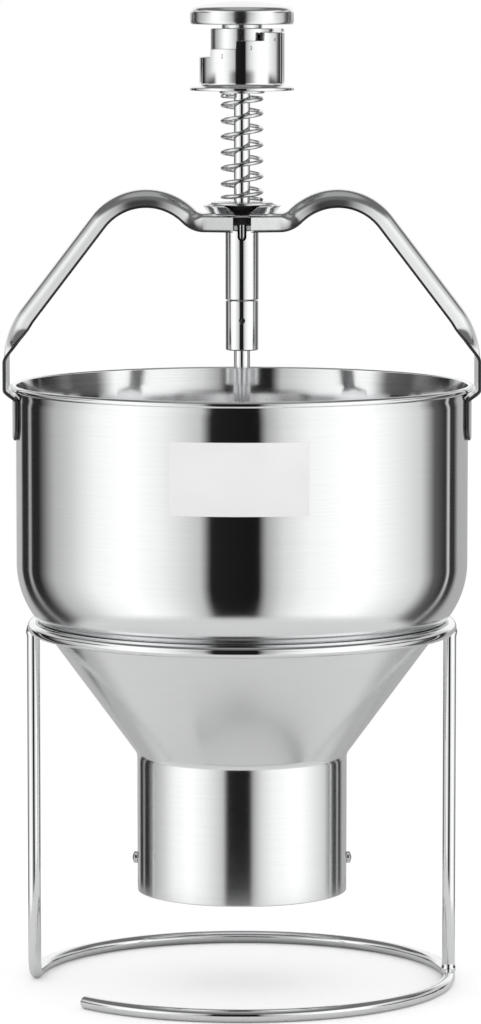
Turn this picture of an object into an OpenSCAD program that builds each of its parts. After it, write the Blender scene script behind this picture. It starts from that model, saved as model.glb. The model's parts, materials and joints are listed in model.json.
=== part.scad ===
// Donut dropper on a wire stand: a spun steel hopper with a cone and an outlet
// tube, an arched pressed handle that carries a guide tube, and a spring-loaded plunger
// with a stepped dosing cup under its knob and a cutter disc in the outlet.
// The origin is on the floor under the hopper's axis, +Z is up, front is -Y.

/* [Stand] */
// Diameter of the stand's wire
wire_d = 6.5; // [5:0.5:8]
// Distance from the bowl's wall in to the centreline of the two rings
ring_inset = 8.5; // [5.5:0.5:14.5]
// Bend radius where the base wire turns up into the left post
bend_r = 9; // [7:0.5:14]
// Angle from the left post to the base wire's free end
base_gap = 42; // [20:1:80]

/* [Hopper] */
// Outer radius of the bowl's straight wall
bowl_r = 112.5; // [105:0.5:125]
// Height of the straight wall up to the middle of the rim bead
wall_h = 87.4; // [60:0.2:120]
// Outer radius of the round corner between wall and cone
corner_r = 45; // [30:1:50]
// Slope of the cone, from the vertical
cone_angle = 36.3; // [30:0.1:44]
// Thickness of the bowl's sheet
sheet_t = 1.2; // [0.8:0.1:2]
// Diameter of the rolled rim bead
bead_d = 3.2; // [2.6:0.2:5]
// Depth by which the bead grips the wall
bead_lap = 0.5; // [0.3:0.1:0.8]
// Radius of the hollow blend between cone and outlet
foot_r = 8; // [4:0.5:14]

/* [Outlet] */
// Height of the outlet's lower lip above the floor
outlet_z = 47.2; // [44:0.2:80]
// Length of the outlet tube
outlet_len = 64.8; // [60:0.2:90]
// Outer radius of the outlet tube
outlet_r = 52.5; // [50:0.5:58]
// Wall of the outlet tube
outlet_t = 1.5; // [1:0.1:2.5]
// Straight neck of the bowl that the outlet tube is welded to
neck_h = 2; // [1:0.5:4]
// Height of the two side screws above the lip
screw_rise = 16.1; // [12:0.1:17]
// Diameter of the screw heads
screw_head_d = 6; // [5:0.5:8]
// Height of the screw heads
screw_head_h = 2.5; // [1.5:0.1:4]
// Diameter of the screw shanks
screw_d = 4; // [3:0.5:5]

/* [Handle] */
// Height of the hub's top above the middle of the rim bead
hub_rise = 86.4; // [70:0.1:110]
// Height of the pressed channel, seen from the front
bar_h = 9.2; // [7:0.1:11]
// Width of the channel at its open side, front to back
bar_w = 20; // [19:0.5:22]
// Angle by which the channel's sides lean out
bar_splay = 18; // [5:1:25]
// Thickness of the handle's sheet
bar_t = 1.7; // [1.4:0.1:2.2]
// Straight part of the channel's sides, below its round corners
bar_leg = 3.9; // [2:0.1:5]
// Width of the notch in the channel's sides, in front of the rod
hub_gap = 9; // [8:0.5:12]
// Amount by which each side of the channel stands out in the middle of the hub
hub_swell = 4.5; // [2:0.1:6]
// Length of the flat hub on each side of the axis
hub_flat = 18.9; // [16:0.1:22]
// Radius of the bend that lifts the bar out of the hub
lift_r = 7; // [5:0.1:10]
// Angle of that bend
lift_angle = 45; // [35:1:50]
// Radius of the hump
hump_r = 33.5; // [28:0.5:37]
// Height of the knee's corner above the middle of the rim bead
knee_rise = 27.5; // [25:0.5:36]
// Radius of the knee
knee_r = 42; // [25:1:48]
// Upper part of the knee in which the channel stays closed
knee_keep = 0.2; // [0.1:0.05:0.6]
// Width of the flat ends
ear_w = 44; // [30:1:50]
// Corner radius of the ears' lower ends
ear_corner = 8; // [4:0.5:12]
// Gap between the rim bead and the flat ends
bead_gap = 1.4; // [0.8:0.1:3]
// Height of the offset that brings the ear under the bead
joggle_h = 6; // [5:0.5:9]
// Depth of the ears' lower ends below the middle of the rim bead
ear_drop = 25.7; // [24:0.1:34]

/* [Guide] */
// Outer diameter of the guide tube
guide_d = 16.5; // [16:0.1:18]
// Wall of the guide tube
guide_t = 2; // [1.5:0.1:2.5]
// Depth of the guide tube's top below the handle's web
guide_drop = 4; // [2:0.1:6]
// Length of the guide tube
guide_len = 37.2; // [34:0.1:46]
// Depth of the guide tube's front slot
guide_slot = 8; // [6:0.1:10]
// Width of that slot
slot_w = 4.4; // [3:0.1:6]
// Length of each guide bush
bush_len = 10; // [6:0.5:11]
// Height of the seat dish
dish_h = 4; // [3:0.2:6]
// Lower radius of the seat dish
dish_r1 = 17.4; // [15:0.1:18.5]
// Upper radius of the seat dish
dish_r2 = 19.6; // [19:0.1:22]

/* [Spring] */
// Length of the spring as fitted
spring_len = 53.8; // [48:0.1:62]
// Outer diameter of the spring
spring_d = 21.4; // [18:0.1:24]
// Diameter of the spring's wire
spring_wire = 2.1; // [1.6:0.1:2.4]
// Rise of one open turn
spring_pitch = 7.8; // [6:0.1:10]
// Part of a turn that lies close at each end
close_turns = 0.75; // [0.5:0.25:1]
// Gap between a close end turn and the next one
close_gap = 0.7; // [0.6:0.1:1]
// Thickness of the two spring washers
washer_t = 1.4; // [1:0.1:2]
// Radius of the lower spring washer
washer_r1 = 15.5; // [13:0.1:17]
// Radius of the upper spring washer
washer_r2 = 11.2; // [11:0.1:16]

/* [Plunger] */
// Diameter of the plunger rods
rod_d = 8; // [6:0.5:9]
// Diameter of the coupling between the two rods
coupling_d = 16.2; // [14:0.1:17]
// Length of the coupling
coupling_len = 24.9; // [20:0.1:32]
// Diameter of the coupling's cross pin
pin_d = 2.5; // [2:0.1:3]
// Distance of the cross pin from the coupling's top
pin_drop = 10; // [6:0.1:11]
// Height of the die ring
die_h = 20.6; // [18:0.2:24]
// Wall of the die ring, outside its bore
die_wall = 4.95; // [4.45:0.05:8.95]
// Height of the lead-in at the die ring's top
lead_in = 2; // [1:0.2:2.5]
// Setback of the die ring and the disc above the lip
die_set = 0.2; // [0:0.1:1]
// Thickness of the cutter disc
disc_t = 3; // [2:0.2:5]
// Outer radius of the spacer tube
spacer_r = 14; // [12:0.5:18]
// Wall of the spacer tube
spacer_t = 2; // [1.5:0.1:3]
// Length of the spacer tube
spacer_len = 30; // [28:0.5:40]
// Thickness of the piston
piston_t = 9.6; // [6:0.2:14]
// Height of the rings that centre the spacer tube
spigot_h = 2; // [1:0.2:3]
// Chamfer on the edges of the piston and the disc
edge_cut = 0.6; // [0.3:0.1:0.9]
// Width across the flats of the nuts
nut_af = 13; // [12:0.5:15]
// Height of the nuts
nut_h = 5; // [4:0.5:7]
// Height of the end nut's dome
dome_rise = 3.5; // [2.5:0.1:4]

/* [Dosing knob] */
// Outer radius of the dosing cup's wall
cup_r = 21; // [20.5:0.1:23]
// Thickness of that wall
cup_t = 2.5; // [2:0.1:3]
// Radius of the cup's finger flange
flange_r = 25.8; // [25:0.1:30]
// Thickness of the finger flange
flange_t = 1.7; // [1.2:0.1:2.5]
// Hollow radius between wall and flange
flare_r = 3.8; // [2:0.1:4]
// Thickness of the cup's floor
floor_t = 3; // [2:0.1:4]
// Height of the lowest step above the cup's underside
step_base = 16.6; // [14:0.1:20]
// Rise of one dose step
step_rise = 4.05; // [3:0.05:4.5]
// Number of dose steps
step_count = 4; // [3:1:4]
// Angle of one dose step
step_angle = 40; // [30:1:45]
// Angle of the highest step
top_angle = 118; // [90:1:130]
// Radius of the stop sleeve
sleeve_r = 15.5; // [13:0.1:17]
// Height of the stop sleeve
sleeve_h = 13.5; // [12:0.1:14]
// Thickness of the stop lug
lug_t = 1.6; // [1:0.1:2.5]
// Angle of the stop lug
lug_angle = 16; // [10:1:24]
// Gap between the stop lug and the highest step
lug_gap = 0.25; // [0.2:0.05:0.5]
// Radius of the neck under the knob cap
neck_r = 10; // [8:0.1:13]
// Height of that neck
knob_neck_h = 2; // [1:0.1:4]
// Radius of the knob cap
cap_r = 25.6; // [23:0.1:29]
// Height of the knob cap
cap_h = 11.5; // [9:0.1:15]
// Rise of the cap's domed top
cap_dome = 3.6; // [2.5:0.1:4.5]
// Radius of the cap's upper edge
cap_edge = 3; // [2:0.1:4]
// Depth of the rod in the knob cap
rod_grip = 6; // [4:0.1:7]

/* [Fits] */
// Gap of pieces that are fixed in one another
fit_gap = 0.05; // [0.03:0.01:0.1]
// Gap of the rod in its bushes
run_gap = 0.06; // [0.04:0.01:0.1]
// Gap of pieces that pass one another freely
free_gap = 0.3; // [0.25:0.05:0.5]

/* [Hidden] */
$fn = 96;
steel = "#c9ccd0";
dark_steel = "#9aa0a6";
bronze = "#b08d57";
wire_r = wire_d / 2;
rod_r = rod_d / 2;
guide_r = guide_d / 2;
past = 1;

// Hopper, from the outlet's lip upwards
neck_z = outlet_z + outlet_len;
foot_z = neck_z + neck_h;
cone_foot_z = foot_z + foot_r * tan(cone_angle / 2);
corner_x = bowl_r - corner_r;
corner_z = cone_foot_z + ((corner_x - outlet_r) * cos(cone_angle) + corner_r) / sin(cone_angle);
rim_z = corner_z + wall_h;
bead_x = bowl_r + bead_d / 2 - bead_lap;
bead_out = bead_x + bead_d / 2;

// Stand: the rings follow the bowl's wall, and the top ring stands off the cone, or off the
// round corner, by the free gap
ring_r = bowl_r - ring_inset;
ring_off = wire_r + free_gap;
cone_top_x = corner_x + corner_r * cos(cone_angle);
ring_on_cone = ring_r - ring_off * cos(cone_angle) < cone_top_x;
cone_ring_z = cone_foot_z + (ring_r - outlet_r - ring_off / cos(cone_angle)) / tan(cone_angle);
corner_ring_z = corner_z - sqrt(pow(corner_r + ring_off, 2) - pow(ring_r - corner_x, 2));
ring_z = ring_on_cone ? cone_ring_z : corner_ring_z;
bend_angle = 180 - atan(bend_r / ring_r);
cope_end = wire_r / 2;

// Handle: the crest of the right half, in the middle of the sheet, from the hub outwards
hub_top = rim_z + hub_rise;
crest_z = hub_top - bar_t / 2;
lift_end = [hub_flat + lift_r * sin(lift_angle), crest_z + lift_r * (1 - cos(lift_angle))];
hump = lift_end + hump_r * [sin(lift_angle), -cos(lift_angle)];
strip_x = bead_out + bead_gap + bar_t / 2;
knee = [strip_x, rim_z + knee_rise];
arm_angle = atan2(knee.y - hump.y, knee.x - hump.x) + acos(hump_r / norm(knee - hump));
knee_end = knee.y - knee_r * tan(arm_angle / 2);
ear_x = bowl_r + fit_gap + bar_t / 2;
ear_end = rim_z - ear_drop;
bar_turn = 90 - bar_splay;
bend_h = bar_h - bar_t / 2 * (1 + cos(bar_turn)) - bar_leg * sin(bar_turn);
bar_bend = bend_h / (1 - cos(bar_turn));
side_out = (bar_bend + bar_t / 2) * sin(bar_turn) + bar_leg * cos(bar_turn);
web_half = max(bar_w / 2 - side_out, bar_t / 2);
corner_run = bar_bend * bar_turn * PI / 180;
bend_steps = 7;
leg_steps = 2;
half_points = bend_steps + 1 + leg_steps;
bar_sides = 4 * half_points;

// Guide and spring, from the hub's top upwards
guide_top = hub_top - bar_t - guide_drop;
guide_z = guide_top - guide_len;
bush_r = guide_r - guide_t - fit_gap;
upper_bush_z = guide_top - guide_slot - bush_len - past;
lower_bush_z = guide_z + past / 2;
dish_top = hub_top + dish_h;
spring_z = dish_top + washer_t;
spring_top = spring_z + spring_len;
coil_r = (spring_d - spring_wire) / 2;
close_pitch = spring_wire + close_gap;
coil_rise = spring_len - spring_wire - 2 * fit_gap;
open_turns = (coil_rise - 2 * close_turns * close_pitch) / spring_pitch;
turns = open_turns + 2 * close_turns;
coil_rings = ceil(turns * 8);
coil_sides = 6;

// Dosing knob, from the spring's upper washer upwards
cup_z = spring_top + washer_t;
step_end = 60;
lug_middle = -15;
top_step = cup_z + step_base + (step_count - 1) * step_rise;
lug_z = top_step + lug_gap;
sleeve_top = lug_z + lug_t;
sleeve_z = sleeve_top - sleeve_h;
cap_z = sleeve_top + knob_neck_h;
dome_r = (cap_r * cap_r + cap_dome * cap_dome) / (2 * cap_dome);
dome_z = cap_z + cap_h - dome_r;
edge_z = dome_z + sqrt(pow(dome_r - cap_edge, 2) - pow(cap_r - cap_edge, 2));
edge_x = (cap_r - cap_edge) * dome_r / (dome_r - cap_edge);

// Plunger, from the outlet's lip upwards
die_z = outlet_z + die_set;
die_r = outlet_r - outlet_t - fit_gap - die_wall;
plunge_r = die_r - free_gap;
disc_top = die_z + disc_t;
piston_z = disc_top + spacer_len;
piston_top = piston_z + piston_t;
coupling_top = guide_z - free_gap;
coupling_z = coupling_top - coupling_len;
pin_z = coupling_top - pin_drop;
rod_joint = pin_z - pin_d / 2 - (pin_z - pin_d / 2 - coupling_z) / 3;
dome_nut_r = nut_af / 2 - edge_cut;
dome_ball_r = (dome_nut_r * dome_nut_r + dome_rise * dome_rise) / (2 * dome_rise);
rod_foot = die_z - nut_h;

// A tube, standing on z
module pipe(outer, inner, h, z) {
    translate([0, 0, z])
        difference() {
            cylinder(r = outer, h = h);
            translate([0, 0, -past]) cylinder(r = inner, h = h + 2 * past);
        }
}

// A stretch of round wire bent to a ring in the XY plane, from the X axis on
module wire_ring(radius, r, sweep) {
    rotate_extrude(angle = sweep)
        translate([radius, 0]) circle(r = r);
}

// The room that the stand's rings need where a post is coped to them
module ring_room(heights) {
    for (z = heights)
        translate([0, 0, z]) wire_ring(ring_r, wire_r + fit_gap, 360);
}

module stand_top_ring() {
    color(steel) translate([0, 0, ring_z]) wire_ring(ring_r, wire_r, 360);
}

// The base ring and the left post are one wire, drawn from the bend between them
module stand_base_wire() {
    color(steel)
        rotate([0, 0, bend_angle]) {
            translate([0, 0, wire_r])
                mirror([0, 1, 0])
                    wire_ring(ring_r, wire_r, bend_angle + 180 - base_gap);
            translate([ring_r, 0, wire_r + bend_r])
                rotate([0, 90, 0])
                    wire_ring(bend_r, wire_r, 90);
            difference() {
                translate([ring_r, bend_r, wire_r + bend_r])
                    cylinder(r = wire_r, h = ring_z - bend_r - cope_end - wire_r);
                ring_room([ring_z]);
            }
        }
}

module stand_right_post() {
    color(steel)
        difference() {
            translate([ring_r, 0, wire_r + cope_end])
                cylinder(r = wire_r, h = ring_z - wire_r - 2 * cope_end);
            ring_room([wire_r, ring_z]);
        }
}

// What lies within the bowl's outer face, drawn in by a depth, down to a height
module bowl_region(depth, low, high) {
    foot_c = [outlet_r + foot_r, foot_z];
    slope = [cos(cone_angle), -sin(cone_angle)];
    cone_low = foot_c - (foot_r + depth) * slope;
    cone_high = [corner_x, corner_z] + (corner_r - depth) * slope;
    difference() {
        polygon([
            [0, low], [outlet_r - depth, low], [outlet_r - depth, foot_z],
            cone_low, cone_high, [corner_x, corner_z], [0, corner_z]
        ]);
        translate(foot_c) circle(r = foot_r + depth);
    }
    intersection() {
        translate([corner_x, corner_z]) circle(r = corner_r - depth);
        translate([0, cone_high.y]) square([bowl_r, corner_r]);
    }
    translate([0, corner_z]) square([bowl_r - depth, high - corner_z]);
}

module hopper_bowl() {
    color(steel)
        rotate_extrude() {
            difference() {
                bowl_region(0, neck_z, rim_z);
                bowl_region(sheet_t, neck_z - past, rim_z + past);
            }
            translate([bead_x, rim_z]) circle(d = bead_d);
        }
}

// Two screws along the X axis, at the height of the die ring's holes
module side_screws(shank, depth) {
    for (side = [0, 180])
        rotate([0, 0, side])
            translate([outlet_r + fit_gap - depth, 0, outlet_z + screw_rise])
                rotate([0, 90, 0])
                    cylinder(d = shank, h = depth);
}

module outlet_tube() {
    color(steel)
        difference() {
            pipe(outlet_r, outlet_r - outlet_t, outlet_len, outlet_z);
            side_screws(screw_d + 2 * fit_gap, outlet_t * 3);
        }
}

screw_depth = outlet_r - die_r - past;

module die_ring() {
    color(dark_steel)
        difference() {
            pipe(outlet_r - outlet_t - fit_gap, die_r, die_h, die_z);
            translate([0, 0, die_z + die_h - lead_in])
                cylinder(r1 = die_r, r2 = die_r + lead_in, h = lead_in + fit_gap);
            side_screws(screw_d + 2 * fit_gap, screw_depth + fit_gap);
        }
}

module die_screws() {
    color(dark_steel) {
        side_screws(screw_d, screw_depth);
        for (side = [0, 180])
            rotate([0, 0, side])
                translate([outlet_r + fit_gap, 0, outlet_z + screw_rise])
                    rotate([0, 90, 0])
                        cylinder(d = screw_head_d, h = screw_head_h);
    }
}

// A station of the handle: place of the crest in the XZ plane, direction of the outward
// normal, share by which the channel is opened flat, half width of the flat sheet, share
// by which it is curved round the bowl's wall, and amount by which its sides stand out
function station(at, normal, open = 0, half = ear_w / 2, wrap = 0, swell = 0) =
    [at, normal, open, half, wrap, swell];

function ease(t) = t * t * (3 - 2 * t);

function around(centre, radius, a) = centre + radius * [cos(a), sin(a)];

function lift_bend(count) = [
    for (i = [1 : count])
        let (a = lift_angle * i / count - 90)
        station(around([hub_flat, crest_z + lift_r], lift_r, a), a + 180)
];

function hump_bend(count) = [
    for (i = [1 : count])
        let (a = 90 + lift_angle + (arm_angle - 90 - lift_angle) * i / count)
        station(around(hump, hump_r, a), a)
];

// The channel opens out flat in the lower part of the knee
function knee_bend(count) = [
    for (i = [0 : count])
        let (
            t = i / count,
            a = arm_angle * (1 - t),
            open = ease(max(0, t - knee_keep) / (1 - knee_keep))
        )
        station(around([strip_x - knee_r, knee_end], knee_r, a), a, open)
];

// The offset under the bead is an eased step, and the ear then lies on the bowl's wall
function joggle(count) = [
    for (i = [0 : count])
        let (
            t = i / count,
            lean = atan(6 * t * (1 - t) * (strip_x - ear_x) / joggle_h),
            at = [strip_x + (ear_x - strip_x) * ease(t), rim_z - joggle_h * t]
        )
        station(at, -lean, 1, ear_w / 2, t)
];

// The ear's lower end has two round corners
function ear_foot(count) = [
    for (i = [0 : count])
        let (a = 90 * i / count)
        station(
            [ear_x, ear_end + ear_corner * (1 - sin(a))], 0,
            1, ear_w / 2 - ear_corner * (1 - cos(a)), 1
        )
];

right_half = concat(
    [station([0, crest_z], 90, swell = hub_swell), station([hub_flat, crest_z], 90)],
    lift_bend(5), hump_bend(14), knee_bend(12), joggle(7), ear_foot(5)
);

// Half of the channel's middle line, from the web outwards: place front to back, place
// along the normal, and the angle by which the sheet is bent there
function half_section(open, half, swell) =
    let (
        web = web_half + swell,
        turn = max(bar_turn * (1 - open), 0.01),
        bow = corner_run / (turn * PI / 180),
        leg = bar_leg + (half - web - corner_run - bar_leg) * pow(open, 3),
        corner = [
            for (j = [0 : bend_steps])
                let (a = turn * j / bend_steps)
                [web + bow * sin(a), bow * (cos(a) - 1), a]
        ],
        end = corner[bend_steps],
        side = [
            for (j = [1 : leg_steps])
                let (run = leg * j / leg_steps)
                [end.x + run * cos(turn), end.y - run * sin(turn), turn]
        ]
    )
    concat(corner, side);

// A point of the sheet at a station, on its outer or inner face
function sheet_point(st, p, side, face) =
    let (
        y = side * (p.x + face * bar_t / 2 * sin(p.z)),
        out = p.y + face * bar_t / 2 * cos(p.z),
        x = st[0].x + out * cos(st[1]),
        turn = st[4] * y / bowl_r * 180 / PI
    )
    [x * cos(turn), y * (1 - st[4]) + x * sin(turn), st[0].y + out * sin(st[1])];

// A ring runs over the outer face from front to back and returns on the inner face
function bar_ring(st) =
    let (half = half_section(st[2], st[3], st[5]), last = half_points - 1)
    concat(
        [for (j = [last : -1 : 0]) sheet_point(st, half[j], -1, 1)],
        [for (j = [0 : last]) sheet_point(st, half[j], 1, 1)],
        [for (j = [last : -1 : 0]) sheet_point(st, half[j], 1, -1)],
        [for (j = [0 : last]) sheet_point(st, half[j], -1, -1)]
    );

module pressed_bar() {
    count = len(right_half);
    right = [for (st = right_half) bar_ring(st)];
    left = [for (i = [count - 1 : -1 : 1]) [for (p = right[i]) [-p.x, p.y, p.z]]];
    points = [for (ring = concat(left, right)) each ring];
    last = (2 * count - 2) * bar_sides;
    sides = [
        for (i = [0 : 2 * count - 3])
            for (k = [0 : bar_sides - 1])
                let (
                    a = i * bar_sides + k,
                    b = i * bar_sides + (k + 1) % bar_sides
                )
                each [[a, b + bar_sides, b], [a, a + bar_sides, b + bar_sides]]
    ];
    ends = [
        for (j = [0 : bar_sides / 2 - 2])
            let (a = j, b = j + 1, c = bar_sides - 2 - j, d = bar_sides - 1 - j)
            each [[a, b, c], [a, c, d], [last + a, last + c, last + b], [last + a, last + d, last + c]]
    ];
    polyhedron(points, concat(sides, ends));
}

// The channel's sides are notched in front of the rod and cut out for the guide tube,
// and its web is bored for the rod
module handle_bar() {
    color(steel)
        difference() {
            pressed_bar();
            translate([-hub_gap / 2, -bar_w, hub_top - bar_t - bar_h])
                cube([hub_gap, 2 * bar_w, bar_h]);
            translate([0, 0, guide_top + fit_gap - bar_h])
                cylinder(r = guide_r + fit_gap, h = bar_h);
            translate([0, 0, hub_top - bar_h])
                cylinder(r = rod_r + free_gap, h = bar_h + past);
        }
}

module guide_tube() {
    color(steel)
        difference() {
            pipe(guide_r, guide_r - guide_t, guide_len, guide_z);
            translate([0, 0, guide_top - guide_slot + slot_w / 2]) {
                translate([-slot_w / 2, -guide_d, 0])
                    cube([slot_w, guide_d, guide_slot]);
                rotate([90, 0, 0]) cylinder(d = slot_w, h = guide_d);
            }
        }
}

module guide_bush_upper() {
    color(bronze) pipe(bush_r, rod_r + run_gap, bush_len, upper_bush_z);
}

module guide_bush_lower() {
    color(bronze) pipe(bush_r, rod_r + run_gap, bush_len, lower_bush_z);
}

module seat_dish() {
    color(steel)
        difference() {
            translate([0, 0, hub_top]) cylinder(r1 = dish_r1, r2 = dish_r2, h = dish_h);
            translate([0, 0, hub_top - past])
                cylinder(r = rod_r + free_gap, h = dish_h + 2 * past);
        }
}

module spring_washer_lower() {
    color(steel) pipe(washer_r1, rod_r + free_gap, washer_t, dish_top);
}

module spring_washer_upper() {
    color(steel) pipe(washer_r2, rod_r + free_gap, washer_t, spring_top);
}

// Rise of the spring's centreline after t turns: close, open, close
function coil_z(t) =
    t < close_turns ? t * close_pitch :
    t < turns - close_turns ? close_turns * close_pitch + (t - close_turns) * spring_pitch :
    coil_rise - (turns - t) * close_pitch;

function coil_point(t) = [
    coil_r * cos(360 * t), coil_r * sin(360 * t),
    spring_z + spring_wire / 2 + fit_gap + coil_z(t)
];

function coil_lean(t) = atan(spring_pitch / (2 * PI * coil_r))
    * (t < close_turns || t > turns - close_turns ? close_pitch / spring_pitch : 1);

// Six points round the wire, square to its run
function coil_ring(t) = [
    for (k = [0 : coil_sides - 1])
        let (
            a = 360 * k / coil_sides,
            out = [cos(360 * t), sin(360 * t), 0],
            back = [sin(360 * t), -cos(360 * t), 0],
            up = cos(coil_lean(t)) * [0, 0, 1] + sin(coil_lean(t)) * back
        )
        coil_point(t) + spring_wire / 2 * (cos(a) * out + sin(a) * up)
];

coil_centres = [for (i = [0 : coil_rings]) coil_point(turns * i / coil_rings)];
coil_gap = min([
    for (i = [0 : coil_rings])
        for (j = [i + 4 : 1 : coil_rings])
            norm(coil_centres[i] - coil_centres[j]) - spring_wire
]);

module spring() {
    echo(str("Spring: least gap between its turns is ", coil_gap, " mm"));
    points = [for (i = [0 : coil_rings]) each coil_ring(turns * i / coil_rings)];
    last = coil_rings * coil_sides;
    sides = [
        for (i = [0 : coil_rings - 1])
            for (k = [0 : coil_sides - 1])
                let (
                    a = i * coil_sides + k,
                    b = i * coil_sides + (k + 1) % coil_sides
                )
                each [[a, b, b + coil_sides], [a, b + coil_sides, a + coil_sides]]
    ];
    ends = [
        for (k = [1 : coil_sides - 2])
            each [[0, k + 1, k], [last, last + k, last + k + 1]]
    ];
    color(dark_steel) polyhedron(points, concat(sides, ends));
}

// The room over one step of the cup's wall, round to where the next step rises
module step_room(level) {
    next = step_end - top_angle - (step_count - 2 - level) * step_angle;
    rotate([0, 0, step_end])
        rotate_extrude(angle = 360 + next - step_end)
            translate([cup_r - cup_t - past, cup_z + step_base + level * step_rise])
                square([cup_t + 2 * past, step_count * step_rise]);
}

module dosing_cup() {
    color(steel)
        difference() {
            rotate_extrude()
                difference() {
                    union() {
                        translate([0, cup_z]) square([flange_r, flange_t]);
                        translate([0, cup_z]) square([cup_r, floor_t]);
                        translate([cup_r - cup_t, cup_z]) square([cup_t, top_step - cup_z]);
                        translate([cup_r - past, cup_z]) square([flare_r + past, flange_t + flare_r]);
                    }
                    translate([cup_r + flare_r, cup_z + flange_t + flare_r]) circle(r = flare_r);
                    translate([0, cup_z - past])
                        square([rod_r + free_gap, floor_t + 2 * past]);
                }
            for (level = [0 : step_count - 2]) step_room(level);
        }
}

module knob_cap() {
    color(steel)
        difference() {
            rotate_extrude() {
                translate([0, sleeve_top]) square([neck_r, knob_neck_h + past]);
                translate([0, cap_z]) square([cap_r, edge_z - cap_z]);
                translate([cap_r - cap_edge, edge_z]) circle(r = cap_edge);
                intersection() {
                    translate([0, dome_z]) circle(r = dome_r, $fn = 360);
                    translate([0, cap_z]) square([edge_x, cap_h]);
                }
            }
            translate([0, 0, sleeve_top - past])
                cylinder(r = rod_r + fit_gap, h = knob_neck_h + rod_grip + past + fit_gap);
        }
}

// The sleeve's lug stands over the highest step of the dosing cup
module stop_sleeve() {
    color(steel) {
        pipe(sleeve_r, rod_r + fit_gap, sleeve_h, sleeve_z);
        rotate([0, 0, lug_middle - lug_angle / 2])
            rotate_extrude(angle = lug_angle)
                translate([sleeve_r - past, lug_z]) square([cup_r - sleeve_r + past, lug_t]);
    }
}

module hex_nut(z) {
    translate([0, 0, z])
        difference() {
            cylinder(d = nut_af / cos(30), h = nut_h, $fn = 6);
            translate([0, 0, -past]) cylinder(r = rod_r + fit_gap, h = nut_h + 2 * past);
        }
}

module knob_lock_nut() {
    color(dark_steel) hex_nut(sleeve_z - nut_h);
}

module upper_rod() {
    color(steel)
        difference() {
            translate([0, 0, rod_joint])
                cylinder(r = rod_r, h = cap_z + rod_grip - rod_joint);
            cross_hole(pin_d + 2 * fit_gap);
        }
}

module cross_hole(d) {
    translate([0, 0, pin_z])
        rotate([90, 0, 0])
            cylinder(d = d, h = coupling_d + 2 * past, center = true);
}

module coupling() {
    color(steel)
        difference() {
            pipe(coupling_d / 2, rod_r + fit_gap, coupling_len, coupling_z);
            cross_hole(pin_d + 2 * fit_gap);
        }
}

module coupling_pin() {
    color(dark_steel)
        translate([0, 0, pin_z])
            rotate([90, 0, 0])
                cylinder(d = pin_d, h = coupling_d - past, center = true);
}

module lower_rod() {
    color(steel)
        translate([0, 0, rod_foot])
            cylinder(r = rod_r, h = rod_joint - fit_gap - rod_foot);
}

module piston_nut() {
    color(dark_steel) hex_nut(piston_top);
}

// A round plate with chamfered edges, bored for the rod
module plate(t, z) {
    translate([0, 0, z])
        rotate_extrude()
            polygon([
                [rod_r + fit_gap, 0], [plunge_r - edge_cut, 0], [plunge_r, edge_cut],
                [plunge_r, t - edge_cut], [plunge_r - edge_cut, t], [rod_r + fit_gap, t]
            ]);
}

spigot_r = spacer_r - spacer_t - fit_gap;

module piston() {
    color(steel) {
        plate(piston_t, piston_z);
        pipe(spigot_r, rod_r + fit_gap, spigot_h, piston_z - spigot_h);
    }
}

module spacer_tube() {
    color(steel) pipe(spacer_r, spacer_r - spacer_t, spacer_len, disc_top);
}

module cutter_disc() {
    color(steel) {
        plate(disc_t, die_z);
        pipe(spigot_r, rod_r + fit_gap, spigot_h, disc_top);
    }
}

// A domed nut that closes the rod's lower end
module end_nut() {
    color(dark_steel)
        difference() {
            union() {
                translate([0, 0, die_z - nut_h])
                    cylinder(d = nut_af / cos(30), h = nut_h, $fn = 6);
                intersection() {
                    translate([0, 0, rod_foot - dome_rise + dome_ball_r])
                        sphere(r = dome_ball_r);
                    translate([0, 0, rod_foot - 2 * dome_rise])
                        cylinder(r = dome_nut_r, h = 2 * dome_rise);
                }
            }
            translate([0, 0, rod_foot - fit_gap])
                cylinder(r = rod_r + fit_gap, h = nut_h + past);
        }
}

stand_top_ring();
stand_base_wire();
stand_right_post();
hopper_bowl();
outlet_tube();
die_ring();
die_screws();
handle_bar();
guide_tube();
guide_bush_upper();
guide_bush_lower();
seat_dish();
spring_washer_lower();
spring();
spring_washer_upper();
dosing_cup();
knob_cap();
stop_sleeve();
knob_lock_nut();
upper_rod();
coupling();
coupling_pin();
lower_rod();
piston_nut();
piston();
spacer_tube();
cutter_disc();
end_nut();
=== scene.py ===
import json
import math

import bmesh
import bpy
import numpy as np
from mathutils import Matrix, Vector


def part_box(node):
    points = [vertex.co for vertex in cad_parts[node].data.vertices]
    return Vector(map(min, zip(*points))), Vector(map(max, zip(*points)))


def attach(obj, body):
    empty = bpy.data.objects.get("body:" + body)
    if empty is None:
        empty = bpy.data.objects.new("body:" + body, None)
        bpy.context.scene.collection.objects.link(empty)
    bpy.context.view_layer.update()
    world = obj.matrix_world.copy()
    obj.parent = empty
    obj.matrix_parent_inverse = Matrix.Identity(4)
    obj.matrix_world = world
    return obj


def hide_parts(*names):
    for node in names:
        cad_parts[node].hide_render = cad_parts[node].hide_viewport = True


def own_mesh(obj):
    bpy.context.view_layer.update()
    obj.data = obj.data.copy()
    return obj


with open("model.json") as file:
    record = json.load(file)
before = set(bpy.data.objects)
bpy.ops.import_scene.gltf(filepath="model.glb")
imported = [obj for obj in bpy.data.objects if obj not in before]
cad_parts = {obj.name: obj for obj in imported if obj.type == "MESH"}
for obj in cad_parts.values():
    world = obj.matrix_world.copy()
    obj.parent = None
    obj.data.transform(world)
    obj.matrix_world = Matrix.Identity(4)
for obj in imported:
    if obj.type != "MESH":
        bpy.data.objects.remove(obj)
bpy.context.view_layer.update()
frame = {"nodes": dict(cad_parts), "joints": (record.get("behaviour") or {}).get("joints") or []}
mm = 0.001  # pieces are worked out in millimetres, meshes are in metres
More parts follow.
